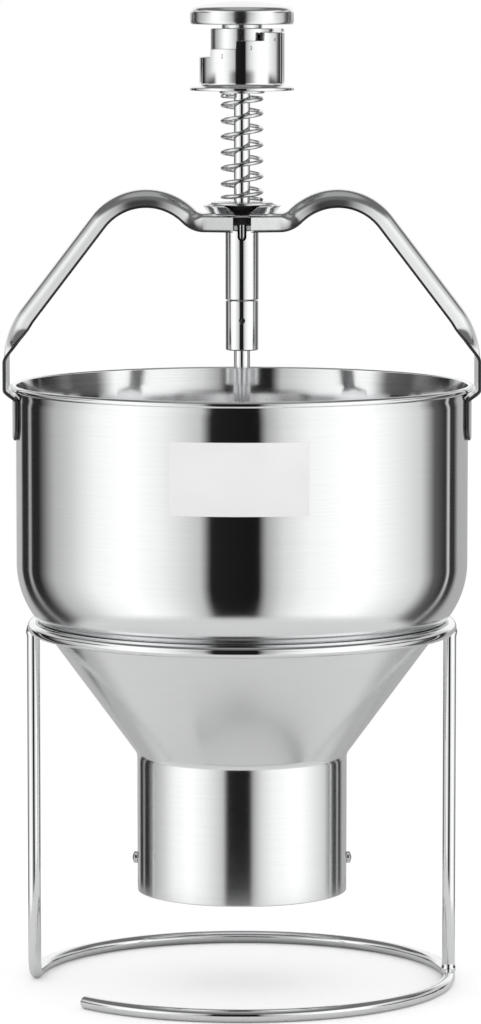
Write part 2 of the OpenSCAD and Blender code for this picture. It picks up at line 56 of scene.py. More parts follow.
fullTurn = 2 * math.pi
print("frame loaded:", len(frame["nodes"]), "nodes")


# Shapes as whole arrays

corner = dict(hold=0.15, room=0.49, chord=1.2, fewest=5, most=30)  # how a rounded corner is divided
mergeGap = 1e-6  # metres: points nearer than this are one


def nodeBox(node):
    # lowest and highest corner of a CAD node, in millimetres
    low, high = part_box(node)
    return np.array(low) / mm, np.array(high) / mm


def nodeTurned(node):
    # outer radius, foot and top of a node that is turned about the axis
    low, high = nodeBox(node)
    return (high[0] - low[0]) / 2, low[2], high[2]


def ease(t):
    # 0 to 1 with flat ends: 3 t^2 - 2 t^3
    t = np.clip(t, 0, 1)
    return t * t * (3 - 2 * t)


def stacked(*parts):
    # coordinates side by side, where one number may stand for a whole row
    return np.stack(np.broadcast_arrays(*parts), -1)


def arcAt(centre, radius, a):
    # centre + radius (cos a, sin a)
    return np.array(centre) + radius * stacked(np.cos(a), np.sin(a))


def alike(direction, count):
    # one direction for every point of a path
    return np.tile(np.array(direction, float), (count, 1))


def gridFaces(rows, columns, closedRows=False):
    # quads between neighbouring rows and columns of a grid of points, closed across its columns
    index = np.arange(rows * columns).reshape(rows, columns)
    if closedRows:
        index = np.vstack([index, index[:1]])
    index = np.hstack([index, index[:, :1]])
    return stacked(index[:-1, :-1], index[:-1, 1:], index[1:, 1:], index[1:, :-1]).reshape(-1, 4)


def tubeFaces(rows, columns):
    # the skin of an open tube of rings, and its two flat ends
    first = np.arange(columns)
    return [gridFaces(rows, columns), first[None, ::-1], first[None] + (rows - 1) * columns]


def rounded(corners, closed=True):
    # outline in (r, z): a corner (r, z, radius) becomes an arc that touches both of its sides
    spots = np.array(corners, float)
    count = len(spots)
    hold, fewest, most = corner["hold"], corner["fewest"], corner["most"]
    blocks = []
    for i, (r, z, radius) in enumerate(spots):
        at = np.array([r, z])
        if radius <= 0 or (not closed and i in (0, count - 1)):
            blocks.append(at[None])
            continue
        toward = spots[i - 1, :2] - at
        away = spots[(i + 1) % count, :2] - at
        room = corner["room"] * min(np.linalg.norm(toward), np.linalg.norm(away))
        toward = toward / np.linalg.norm(toward)
        away = away / np.linalg.norm(away)
        half = math.acos(np.clip(toward @ away, -1, 1)) / 2
        reach = min(radius / math.tan(half), room)
        radius = reach * math.tan(half)
        centre = at + (toward + away) / np.linalg.norm(toward + away) * radius / math.sin(half)
        first = at + toward * reach - centre
        last = at + away * reach - centre
        turn = math.atan2(first[0] * last[1] - first[1] * last[0], first @ last)
        steps = int(np.clip(fewest + radius * abs(turn) / corner["chord"], fewest, most))
        angle = math.atan2(first[1], first[0]) + turn * np.linspace(0, 1, steps)
        arc = arcAt(centre, radius, angle)
        if reach + hold < room:
            arc = np.vstack([at + toward * (reach + hold), arc, at + away * (reach + hold)])
        blocks.append(arc)
    return np.vstack(blocks)


def ringOutline(bore, radius, foot, top, edge):
    # the section of a plain ring with rounded edges
    return rounded([(bore, foot, edge), (radius, foot, edge), (radius, top, edge), (bore, top, edge)])


def lathe(outline, columns=192, closed=True):
    # x = r cos a, y = r sin a, z: the outline turned about the axis
    a = np.linspace(0, fullTurn, columns, endpoint=False)
    r, z = outline[:, :1], outline[:, 1:]
    points = stacked(r * np.cos(a), r * np.sin(a), z).reshape(-1, 3)
    return points, [gridFaces(len(outline), columns, closedRows=closed)]


def sector(outline, a):
    # the outline turned about the axis through the angles a only, with flat ends
    r, z = outline[:, 0], outline[:, 1]
    a = a[:, None]
    points = stacked(np.cos(a) * r, np.sin(a) * r, z).reshape(-1, 3)
    return points, tubeFaces(len(a), len(outline))


def tube(path, side, up, section, scale=None, closedPath=False):
    # point = path + scale (u side + v up), for the section's points (u, v)
    scale = np.ones(len(path)) if scale is None else scale
    u, v = section[:, 0], section[:, 1]
    ring = u[None, :, None] * side[:, None] + v[None, :, None] * up[:, None]
    points = (path[:, None] + scale[:, None, None] * ring).reshape(-1, 3)
    if closedPath:
        return points, [gridFaces(len(path), len(section), closedRows=True)]
    return points, tubeFaces(len(path), len(section))


def circle(radius, count):
    return arcAt((0, 0), radius, np.linspace(0, fullTurn, count, endpoint=False))


def joined(*shapes):
    # several shapes as one list of points and faces
    points, faces, start = [], [], 0
    for shapePoints, shapeFaces in shapes:
        points.append(shapePoints)
        faces += [block + start for block in shapeFaces]
        start += len(shapePoints)
    return np.vstack(points), faces


def frontPrism(outline, near, far):
    # an outline in (x, z) drawn out along y
    rings = np.stack([np.insert(outline, 1, y, axis=1) for y in (near, far)])
    return rings.reshape(-1, 3), tubeFaces(2, len(outline))


def smoothed(mesh, sharp):
    # smooth but for edges sharper than an angle in degrees
    mesh.shade_smooth()
    mesh.set_sharp_from_angle(angle=math.radians(sharp))


def putMesh(name, shape, finish, run=None, sharp=38):
    # one object at the origin: doubles merged, faces outward
    points, faces = shape
    mesh = bpy.data.meshes.new(name)
    mesh.from_pydata((points * mm).tolist(), [], [face for block in faces for face in block.tolist()])
    if run is not None:
        line = mesh.attributes.new("run", "FLOAT_VECTOR", "POINT")
        line.data.foreach_set("vector", np.asarray(run, np.float32).ravel())
    work = bmesh.new()
    work.from_mesh(mesh)
    bmesh.ops.remove_doubles(work, verts=work.verts, dist=mergeGap)
    bmesh.ops.recalc_face_normals(work, faces=work.faces)
    work.to_mesh(mesh)
    work.free()
    smoothed(mesh, sharp)
    mesh.materials.append(finish)
    piece = bpy.data.objects.new(name, mesh)
    bpy.context.scene.collection.objects.link(piece)
    return piece


def cutAway(piece, shape, sharp=38):
    # the piece without the space that a closed shape takes
    tool = putMesh("cutTool", shape, piece.data.materials[0])
    cut = piece.modifiers.new("cut", "BOOLEAN")
    cut.object = tool
    cut.solver = "EXACT"
    graph = bpy.context.evaluated_depsgraph_get()
    mesh = bpy.data.meshes.new_from_object(piece.evaluated_get(graph))
    piece.modifiers.clear()
    piece.data = mesh
    smoothed(mesh, sharp)
    bpy.data.objects.remove(tool)


def place(piece, body, slot, *nodes):
    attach(piece, body)
    if nodes:
        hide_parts(*nodes)
    return piece


def bored(name, node, body, finish, slot, bore, edge=0.4, columns=160):
    # a plain turned ring in the place of its node
    radius, foot, top = nodeTurned(node)
    piece = putMesh(name, lathe(ringOutline(bore, radius, foot, top, edge), columns), finish)
    return place(piece, body, slot, node)


# Shader maths

class Flow:
    # an output socket: sums and products of flows add Math nodes to its tree
    def __init__(self, tree, socket):
        self.tree = tree
        self.socket = socket

    def node(self, kind, settings=None, inputs=None, output=0):
        made = self.tree.nodes.new(kind)
        for key, value in (settings or {}).items():
            if key == "stops":
                ramp = made.color_ramp
                while len(ramp.elements) < len(value):
                    ramp.elements.new(1)
                for element, (spot, level) in zip(ramp.elements, value):
                    element.position = spot
                    element.color = (level, level, level, 1)
            else:
                setattr(made, key, value)
        for key, value in (inputs or {}).items():
            if isinstance(value, Flow):
                self.tree.links.new(value.socket, made.inputs[key])
            else:
                made.inputs[key].default_value = value
        return Flow(self.tree, made.outputs[output])

    def math(self, operation, first, second=0.0):
        return self.node("ShaderNodeMath", {"operation": operation}, {0: first, 1: second})

    def __add__(self, other):
        return self.math("ADD", self, other)

    def __radd__(self, other):
        return self.math("ADD", other, self)

    def __sub__(self, other):
        return self.math("SUBTRACT", self, other)

    def __rsub__(self, other):
        return self.math("SUBTRACT", other, self)

    def __mul__(self, other):
        return self.math("MULTIPLY", self, other)

    def __rmul__(self, other):
        return self.math("MULTIPLY", other, self)

    def __truediv__(self, other):
        return self.math("DIVIDE", self, other)

    def step(self, low, high):
        # 0 below low, 1 above high, eased between
        settings = {"interpolation_type": "SMOOTHSTEP"}
        return self.node("ShaderNodeMapRange", settings, {"Value": self, "From Min": low, "From Max": high})

    def band(self, rise, fall):
        # 1 between two levels of this flow, eased at both
        return self.step(*rise) * (1 - self.step(*fall))

    def axis(self, index):
        return self.node("ShaderNodeSeparateXYZ", None, {0: self}, index)

    def ray(self, kind):
        return self.node("ShaderNodeLightPath", None, None, kind)

    def scaled(self, x, y, z):
        settings = {"vector_type": "POINT"}
        return self.node("ShaderNodeMapping", settings, {"Vector": self, "Scale": (x, y, z)})

    def noise(self, scale, detail=2.0, rough=0.5):
        inputs = {"Vector": self, "Scale": scale, "Detail": detail, "Roughness": rough}
        return self.node("ShaderNodeTexNoise", {"noise_dimensions": "3D"}, inputs)

    def blend(self, low, high):
        # colour from low to high by this flow, each end a flow or three numbers
        low, high = [end if isinstance(end, Flow) else (*end, 1) for end in (low, high)]
        return self.node("ShaderNodeMix", {"data_type": "RGBA"}, {0: self, 6: low, 7: high}, 2)

    def bump(self, strength, depth):
        # the normal of a surface with this height, its depth in millimetres
        inputs = {"Strength": strength, "Distance": depth * mm, "Height": self}
        return self.node("ShaderNodeBump", None, inputs)


def grey(level):
    return level, level, level


def coolGrey(level):
    # the faint blue of bare steel
    return level, level + 0.005, level + 0.01


def newFinish(name):
    # an empty material: its tree as a flow of Object coordinates, and its Principled shader
    finish = bpy.data.materials.new(name)
    finish.use_nodes = True
    tree = finish.node_tree
    shader = tree.nodes["Principled BSDF"]
    coords = tree.nodes.new("ShaderNodeTexCoord")
    return finish, Flow(tree, coords.outputs["Object"]), shader


def feed(shader, **values):
    for key, value in values.items():
        socket = shader.inputs[key.replace("_", " ")]
        if isinstance(value, Flow):
            value.tree.links.new(value.socket, socket)
        else:
            socket.default_value = value


# what all steels share: noise settings (detail, roughness) and the levels at which marks show
grain = dict(lines=(1.0, 3.0, 0.65), smudge=(3.0, 0.55), specks=(1.0, 0.5), lineFrom=(0.2, 0.8),
             smudgeFrom=(0.35, 0.75), speckFrom=(0.68, 0.8), lineTone=0.6, speckGloss=0.06, speckRelief=0.5,
             shearShadeFrom=(0.3, 0.9), shearGloss=0.2, quarter=0.25)


def steelFinish(name, look):
    # stainless steel: fine lines, broad smudges and pinpoint wear act on colour, gloss and bump
    finish, spot, shader = newFinish(name)
    if look.get("alongRun"):
        spot = spot.node("ShaderNodeAttribute", {"attribute_name": "run"}, None, "Vector")
    lines = spot.scaled(*look["lines"]).noise(*grain["lines"])
    smudge = spot.noise(look["smudge"], *grain["smudge"])
    specks = spot.noise(look["specks"], *grain["specks"]).step(*grain["speckFrom"])
    gloss = look["rough"] + look["lineGloss"] * (lines - 0.5)
    gloss = gloss + look["smudgeGloss"] * smudge.step(*grain["smudgeFrom"])
    if "satinFrom" in look:
        # a satin zone between two heights, such as the hopper's cone
        gloss = gloss + look["satin"] * spot.axis(2).band(look["satinFrom"], look["satinTo"])
    tone = grain["lineTone"] * lines.step(*grain["lineFrom"]) + (1 - grain["lineTone"]) * smudge
    colour = tone.blend(look["dark"], look["pale"])
    if "paintedShadeEdge" in look:
        # painted shade: the cut edges are painted nearly black, standing in for the shade along the sheet's
        # edge; they are also rougher than the sheet's faces
        shearedShade = spot.axis(2).step(*grain["shearShadeFrom"])
        gloss = gloss + grain["shearGloss"] * shearedShade
        colour = shearedShade.blend(colour, look["paintedShadeEdge"])
    feed(shader, Metallic=1.0, Roughness=gloss + grain["speckGloss"] * specks, Base_Color=colour)
    feed(shader, Normal=(lines + grain["speckRelief"] * specks).bump(look["relief"], look["depth"]))
    if "brushed" in look:
        # lines that run round the axis spread a highlight across themselves, up and down
        feed(shader, Anisotropic=look["brushed"], Anisotropic_Rotation=grain["quarter"])
    return finish


def grainFinish(name, look):
    # a fine grain acts on colour, roughness and bump; a cloud, where there is one, takes over the colour
    finish, spot, shader = newFinish(name)
    fine = spot.noise(look["grain"], look["detail"])
    tone = spot.noise(look["cloud"]).step(*look["cloudFrom"]) if "cloud" in look else fine
    feed(shader, Roughness=look["rough"] + look["grainGloss"] * fine, Metallic=look.get("metal", 0.0))
    feed(shader, Base_Color=tone.blend(look["dark"], look["pale"]))
    if "relief" in look:
        feed(shader, Normal=fine.bump(look["relief"], look["depth"]))
    if "specular" in look:
        feed(shader, Specular_IOR_Level=look["specular"])
    return finish


shellLook = dict(lines=(24, 24, 1400), smudge=14.0, specks=900.0, rough=0.06, lineGloss=0.03,
                 smudgeGloss=0.03, dark=coolGrey(0.84), pale=coolGrey(0.90), relief=0.010, depth=0.003,
                 satin=0.11, satinFrom=(0.104, 0.124), satinTo=(0.190, 0.212))
outletLook = dict(shellLook, rough=0.12, satin=0.0)
insideLook = dict(lines=(20, 20, 1100), smudge=18.0, specks=700.0, rough=0.09, lineGloss=0.05,
                  smudgeGloss=0.03, dark=coolGrey(0.80), pale=coolGrey(0.88),
                  relief=0.004, depth=0.002, brushed=0.9)
wireLook = dict(lines=(220, 220, 220), smudge=30.0, specks=900.0, rough=0.05, lineGloss=0.02,
                smudgeGloss=0.03, dark=coolGrey(0.84), pale=coolGrey(0.90), relief=0.006, depth=0.003)
# the bar's cut edges are painted nearly black: painted shade
barLook = dict(lines=(25, 1800, 1800), smudge=40.0, specks=900.0, rough=0.15, lineGloss=0.10,
               smudgeGloss=0.05, dark=coolGrey(0.74), pale=coolGrey(0.86), relief=0.05, depth=0.006,
               alongRun=True, paintedShadeEdge=(0.10, 0.10, 0.105))
turnedLook = dict(lines=(60, 60, 2600), smudge=60.0, specks=1200.0, rough=0.05, lineGloss=0.04,
                  smudgeGloss=0.03, dark=coolGrey(0.84), pale=coolGrey(0.91), relief=0.02, depth=0.003)
capLook = dict(turnedLook, smudge=50.0, rough=0.15, lineGloss=0.06, smudgeGloss=0.04, pale=coolGrey(0.92))
knobLook = dict(turnedLook, smudge=50.0, rough=0.045, lineGloss=0.03,
                smudgeGloss=0.02, dark=coolGrey(0.86), pale=coolGrey(0.93), relief=0.015)
springLook = dict(lines=(900, 900, 900), smudge=80.0, specks=1500.0, rough=0.12, lineGloss=0.06,
                  smudgeGloss=0.04, dark=coolGrey(0.70), pale=coolGrey(0.80), relief=0.03, depth=0.003)
fastenerLook = dict(lines=(500, 500, 500), smudge=80.0, specks=1500.0, rough=0.18, lineGloss=0.10,
                    smudgeGloss=0.06, dark=coolGrey(0.68), pale=coolGrey(0.80), relief=0.06, depth=0.006)
bronzeLook = dict(lines=(60, 60, 1800), smudge=80.0, specks=900.0, rough=0.30, lineGloss=0.10,
                  smudgeGloss=0.08, dark=(0.50, 0.34, 0.15), pale=(0.66, 0.48, 0.24),
                  relief=0.08, depth=0.008)
# the collar's near-black is painted shade inside the seat dish
collarShadeLook = dict(grain=1600.0, detail=3.0, rough=0.42, grainGloss=0.2, dark=grey(0.006), pale=grey(0.02),
                   relief=0.1, depth=0.02)

shellSteel = steelFinish("shellSteel", shellLook)
outletSteel = steelFinish("outletSteel", outletLook)
insideSteel = steelFinish("insideSteel", insideLook)
wireSteel = steelFinish("wireSteel", wireLook)
barSteel = steelFinish("barSteel", barLook)
turnedSteel = steelFinish("turnedSteel", turnedLook)
capSteel = steelFinish("capSteel", capLook)
knobSteel = steelFinish("knobSteel", knobLook)
springSteel = steelFinish("springSteel", springLook)
fastenerSteel = steelFinish("fastenerSteel", fastenerLook)
bushBronze = steelFinish("bushBronze", bronzeLook)
collarShadeBlack = grainFinish("collarShadeBlack", collarShadeLook)
print("finishes made")


# Stand: two rings and two posts of one round wire

stand = dict(columns=360, around=28, weldSwell=0.16, weldRun=1.6, bend=9.0, gap=42.0, baseRows=300,
             bendRows=24, footZone=16.0, weldZone=12.0, zoneGap=2.0, zoneRows=26, plainRows=8,
             endRound=0.7, endRows=(0, 0.1, 0.3, 0.6, 1.0), endDome=0.35, endDrop=0.12)
ringOuter, ringFoot, ringTop = nodeTurned("stand_top_ring")
wireRadius = (ringTop - ringFoot) / 2
ringRadius = ringOuter - wireRadius
ringHeight = (ringTop + ringFoot) / 2
wireSection = circle(wireRadius, stand["around"])


def ringPath(radius, height, angle):
    # points on a flat ring, with the outward and the upward direction
    flat = stacked(np.cos(angle), np.sin(angle), 0)
    upward = alike((0, 0, 1), len(angle))
    return radius * flat + height * upward, flat, upward


def weldScale(height, *welds):
    # a wire swells to a weld bead where it meets a ring: 1 + swell exp(-(h / run)^2)
    swell = sum(np.exp(-((height - weld) / stand["weldRun"]) ** 2) for weld in welds)
    return 1 + stand["weldSwell"] * swell


angle = np.linspace(0, fullTurn, stand["columns"], endpoint=False)
ringShape = tube(*ringPath(ringRadius, ringHeight, angle), wireSection, closedPath=True)
topRing = putMesh("topRing", ringShape, wireSteel)
place(topRing, "stand", "polished_wire", "stand_top_ring")

# the posts have close rows only where they bend or are welded
weldRows = np.linspace(ringHeight - stand["weldZone"], ringHeight, stand["zoneRows"])
plainTop = weldRows[0] - stand["zoneGap"]
plainFoot = stand["footZone"] + stand["zoneGap"]
postHeight = np.concatenate([np.linspace(wireRadius, stand["footZone"], stand["zoneRows"]),
                             np.linspace(plainFoot, plainTop, stand["plainRows"]), weldRows])
postPath = stacked(ringRadius, 0, postHeight)
postScale = weldScale(postHeight, 2 * wireRadius, ringHeight - wireRadius)
postShape = tube(postPath, alike((1, 0, 0), len(postPath)), alike((0, 1, 0), len(postPath)),
                 wireSection, postScale)
rightPost = putMesh("rightPost", postShape, wireSteel)
place(rightPost, "stand", "polished_wire", "stand_right_post")

# the base wire runs round the ring from its free end, bends up and is the left post
bendAngle = math.pi - math.atan(stand["bend"] / ringRadius)
freeEnd = bendAngle + math.pi - math.radians(stand["gap"])
endShare = np.array(stand["endRows"])
endStep = stand["endRound"] / ringRadius * endShare
angle = np.concatenate([-freeEnd + endStep, np.linspace(-freeEnd + 2 * endStep[-1], 0, stand["baseRows"])])
ringPoints, ringOut = ringPath(ringRadius, wireRadius, angle)[:2]
bendTurn = np.linspace(0, math.pi / 2, stand["bendRows"])[1:]
bendPoints = stacked(ringRadius, stand["bend"] * np.sin(bendTurn),
                     wireRadius + stand["bend"] * (1 - np.cos(bendTurn)))
leftHeight = np.concatenate([np.linspace(stand["footZone"], plainTop, stand["plainRows"]), weldRows])
leftPoints = stacked(ringRadius, stand["bend"], leftHeight)
wirePath = np.vstack([ringPoints, bendPoints, leftPoints])
wireOut = np.vstack([ringOut, alike((1, 0, 0), len(bendPoints) + len(leftPoints))])
wireRun = np.gradient(wirePath, axis=0)
wireUp = np.cross(wireOut, wireRun / np.linalg.norm(wireRun, axis=1)[:, None])
wireScale = np.ones(len(wirePath))
domed = np.sqrt(1 - (stand["endDome"] * (1 - endShare)) ** 2)
wireScale[:len(endShare)] = domed - stand["endDrop"] * (1 - endShare)
wireScale[-len(leftPoints):] = weldScale(leftHeight, ringHeight - wireRadius)
turnIt = np.array([[math.cos(bendAngle), math.sin(bendAngle), 0],
                   [-math.sin(bendAngle), math.cos(bendAngle), 0], [0, 0, 1]])
wireShape = tube(wirePath @ turnIt, wireOut @ turnIt, wireUp @ turnIt, wireSection, wireScale)
baseWire = putMesh("baseWire", wireShape, wireSteel)
place(baseWire, "stand", "polished_wire", "stand_base_wire")
print("stand made")


# Hopper: the bowl's sheet, outside and inside, with its rolled bead

bowl = dict(radius=112.5, sheet=1.2, slope=36.3, corner=45.0, foot=8.0, neck=2.0, columns=320, sharp=60,
            bead=1.6, beadOut=113.6, beadFrom=-105, beadTo=140, beadRows=30, flareDrop=5.5, flareRadius=18.0,
            lipIn=1.3, lipOut=1.0, lipMiddle=0.5, lipTop=0.6, lipRound=1.0, lipDrop=20.0, lipBend=60.0,
            insideTop=0.4)
outletOuter, outletFoot, outletTop = nodeTurned("outlet_tube")
rimHeight = nodeBox("hopper_bowl")[1][2] - bowl["bead"]
slope = math.radians(bowl["slope"])
footHeight = outletTop + bowl["neck"] + bowl["foot"] * math.tan(slope / 2)
innerShift = bowl["sheet"] / math.cos(slope)
innerRadius = bowl["radius"] - bowl["sheet"]
wallRadius = innerRadius - bowl["lipIn"]  # the inside opens a little towards the rim
neckInner = outletOuter - bowl["sheet"]


def coneHeight(radius, shift):
    # height of the cone's face at a radius, for the outer face or shifted in by the sheet
    return footHeight + (radius + shift - outletOuter) / math.tan(slope)


beadTurn = np.radians(np.linspace(bowl["beadFrom"], bowl["beadTo"], bowl["beadRows"]))
beadArc = arcAt((bowl["beadOut"], rimHeight), bowl["bead"], beadTurn)
outside = rounded([
    (outletOuter, outletTop, 0), (outletOuter, footHeight, bowl["foot"]),
    (bowl["radius"], coneHeight(bowl["radius"], 0), bowl["corner"]),
    (bowl["radius"], rimHeight - bowl["flareDrop"], bowl["flareRadius"]), (*beadArc[0], 0)], closed=False)
inside = rounded([
    (*beadArc[-1], 0), (innerRadius + bowl["lipOut"], rimHeight + bowl["lipTop"], bowl["lipRound"]),
    (wallRadius + bowl["lipMiddle"], rimHeight - bowl["lipDrop"] / 2, bowl["lipBend"]),
    (wallRadius, rimHeight - bowl["lipDrop"], bowl["lipBend"]),
    (wallRadius, coneHeight(wallRadius, innerShift), bowl["corner"] - bowl["sheet"]),
    (neckInner, coneHeight(neckInner, innerShift), bowl["foot"] + bowl["sheet"]),
    (neckInner, outletTop, 0)], closed=False)
bowlOutline = np.vstack([outside[:-1], beadArc, inside[1:]])
hopper = putMesh("hopperBowl", lathe(bowlOutline, bowl["columns"]), shellSteel, sharp=bowl["sharp"])
hopper.data.materials.append(insideSteel)
# faces that look towards the axis, below the bead, are the inside
centres = np.zeros(len(hopper.data.polygons) * 3, np.float32)
normals = np.zeros_like(centres)
hopper.data.polygons.foreach_get("center", centres)
hopper.data.polygons.foreach_get("normal", normals)
centres, normals = centres.reshape(-1, 3), normals.reshape(-1, 3)
facesIn = (centres[:, :2] * normals[:, :2]).sum(1) < 0
isInside = facesIn & (centres[:, 2] < (rimHeight + bowl["insideTop"]) * mm)
hopper.data.polygons.foreach_set("material_index", isInside.astype(np.int32))
place(hopper, "dropper", "polished_steel", "hopper_bowl")

outlet = dict(wall=1.5, lip=0.5, columns=256)
outletInner = outletOuter - outlet["wall"]
outletOutline = rounded([
    (outletInner, outletFoot, outlet["lip"]), (outletOuter, outletFoot, outlet["lip"]),
    (outletOuter, outletTop, 0), (outletInner, outletTop, 0)])
outletTube = putMesh("outletTube", lathe(outletOutline, outlet["columns"]), outletSteel)
place(outletTube, "dropper", "polished_steel", "outlet_tube")

# a plain pale label without any mark, curved to the wall
label = dict(middle=-1.4, half=34.0, foot=246.8, top=282.3, film=0.12, edge=0.05, columns=60)
labelLook = dict(grain=1400.0, detail=2.0, cloud=22.0, cloudFrom=(0.3, 0.7), rough=0.38, grainGloss=0.1,
                 dark=grey(0.81), pale=grey(0.87), relief=0.05, depth=0.01, specular=0.4)
labelFace = bowl["radius"] + label["film"]
labelSection = rounded([
    (bowl["radius"], label["foot"], 0), (labelFace, label["foot"], label["edge"]),
    (labelFace, label["top"], label["edge"]), (bowl["radius"], label["top"], 0)])
labelAcross = label["middle"] + np.linspace(-label["half"], label["half"], label["columns"])
labelShape = sector(labelSection, labelAcross / bowl["radius"] - math.pi / 2)
blankLabel = putMesh("blankLabel", labelShape, grainFinish("labelFilm", labelLook))
place(blankLabel, "dropper", "polished_steel")
print("hopper made")


# Handle: one pressed channel that opens out flat into two ears

handle = dict(height=9.2, width=20.0, splay=18.0, sheet=1.7, leg=3.9, edge=0.7, flattest=1e-4, backRun=60.0,
              hubFlat=18.9, hubSwell=6.5, hubFade=24.0, hubSquare=0.15, hubWiden=4.45, hubCorner=0.35,
              lift=7.0, liftAngle=45.0, hump=33.5, kneeRise=27.5, knee=42.0, kneeKeep=0.2,
              beadGap=1.4, joggle=6.0, wallGap=0.05, earHalf=22.0, earCorner=8.0, earDrop=25.7, earThin=0.02,
              notch=4.5, notchPast=1.0, notchSkin=0.03, sharp=50)
handleRows = dict(hub=10, lift=16, hump=70, knee=60, joggle=30, foot=16, web=4, bend=15, side=7, edge=6)
hubTop = nodeBox("seat_dish")[0][2]
halfSheet = handle["sheet"] / 2
crest = hubTop - halfSheet
stripX = bowl["beadOut"] + bowl["bead"] + handle["beadGap"] + halfSheet
earX = bowl["radius"] + handle["wallGap"] + halfSheet
closedTurn = math.radians(90 - handle["splay"])
closedLeg = handle["leg"]
barBend = (handle["height"] - halfSheet * (1 + math.cos(closedTurn))
           - closedLeg * math.sin(closedTurn)) / (1 - math.cos(closedTurn))
webHalf = (handle["width"] / 2 - (barBend + halfSheet) * math.sin(closedTurn)
           - closedLeg * math.cos(closedTurn))
cornerRun = barBend * closedTurn
liftTurn = math.radians(handle["liftAngle"])
liftHump = handle["lift"] + handle["hump"]
humpCentre = np.array([handle["hubFlat"] + liftHump * math.sin(liftTurn),
                       crest + handle["lift"] - liftHump * math.cos(liftTurn)])
kneeTop = rimHeight + handle["kneeRise"]
kneeGap = np.array([stripX, kneeTop]) - humpCentre
armTurn = math.atan2(kneeGap[1], kneeGap[0]) + math.acos(handle["hump"] / np.linalg.norm(kneeGap))
kneeEnd = kneeTop - handle["knee"] * math.tan(armTurn / 2)


def stretch(x, z, normal, opened=0.0, half=handle["earHalf"], wrap=0.0, thick=1.0, swell=0.0):
    # stations: crest in the XZ plane, outward normal, how far opened, half width, wrap, thickness and swell
    return stacked(x, z, normal, opened, half, wrap, thick, swell)


def arcStretch(centre, radius, start, end, count, flip=False, **more):
    # stations on an arc about a centre; flip turns the outward side to the centre
    a = np.linspace(start, end, count)
    return stretch(centre[0] + radius * np.cos(a), centre[1] + radius * np.sin(a), a + math.pi * flip, **more)


# the hub is pressed square and widens to its middle; both fade out where the bar lifts to the hump
hubX = np.linspace(0, handle["hubFlat"], handleRows["hub"])
hubWide = handle["hubSwell"] * (1 - hubX / handle["hubFade"]) + handle["hubWiden"]
liftEase = 1 - ease(np.linspace(0, 1, handleRows["lift"]))
liftX = handle["hubFlat"] + handle["lift"] * np.sin(np.linspace(0, liftTurn, handleRows["lift"]))
liftWide = handle["hubSwell"] * (1 - liftX / handle["hubFade"]) + handle["hubWiden"] * liftEase
kneeShare = np.linspace(0, 1, handleRows["knee"])
kneeOpen = ease((kneeShare - handle["kneeKeep"]) / (1 - handle["kneeKeep"]))
# the strip joggles in from the bead to the wall, and leans by the slope of the easing curve
inShare = np.linspace(0, 1, handleRows["joggle"])
lean = np.arctan(6 * inShare * (1 - inShare) * (stripX - earX) / handle["joggle"])
footTurn = np.linspace(0, math.pi / 2, handleRows["foot"])
earEnd = rimHeight - handle["earDrop"]
footZ = earEnd + handle["earCorner"] * (1 - np.sin(footTurn))
footDepth = ((earEnd + halfSheet - footZ) / halfSheet).clip(0)
footThick = np.sqrt(np.clip(1 - footDepth ** 2, handle["earThin"], 1))
footHalf = handle["earHalf"] - handle["earCorner"] * (1 - np.cos(footTurn))
rightHalf = np.vstack([
    stretch(hubX, crest, math.pi / 2, opened=-handle["hubSquare"], swell=hubWide),
    arcStretch((handle["hubFlat"], crest + handle["lift"]), handle["lift"], -math.pi / 2,
               liftTurn - math.pi / 2, handleRows["lift"], flip=True,
               opened=-handle["hubSquare"] * liftEase, swell=liftWide)[1:],
    arcStretch(humpCentre, handle["hump"], math.pi / 2 + liftTurn, armTurn, handleRows["hump"])[1:],
    arcStretch((stripX - handle["knee"], kneeEnd), handle["knee"], armTurn, 0, handleRows["knee"],
               opened=kneeOpen),
    stretch(stripX + (earX - stripX) * ease(inShare), rimHeight - handle["joggle"] * inShare, -lean,
            opened=1.0, wrap=inShare),
    stretch(earX, footZ, 0.0, opened=1.0, half=footHalf, wrap=1.0, thick=footThick)])


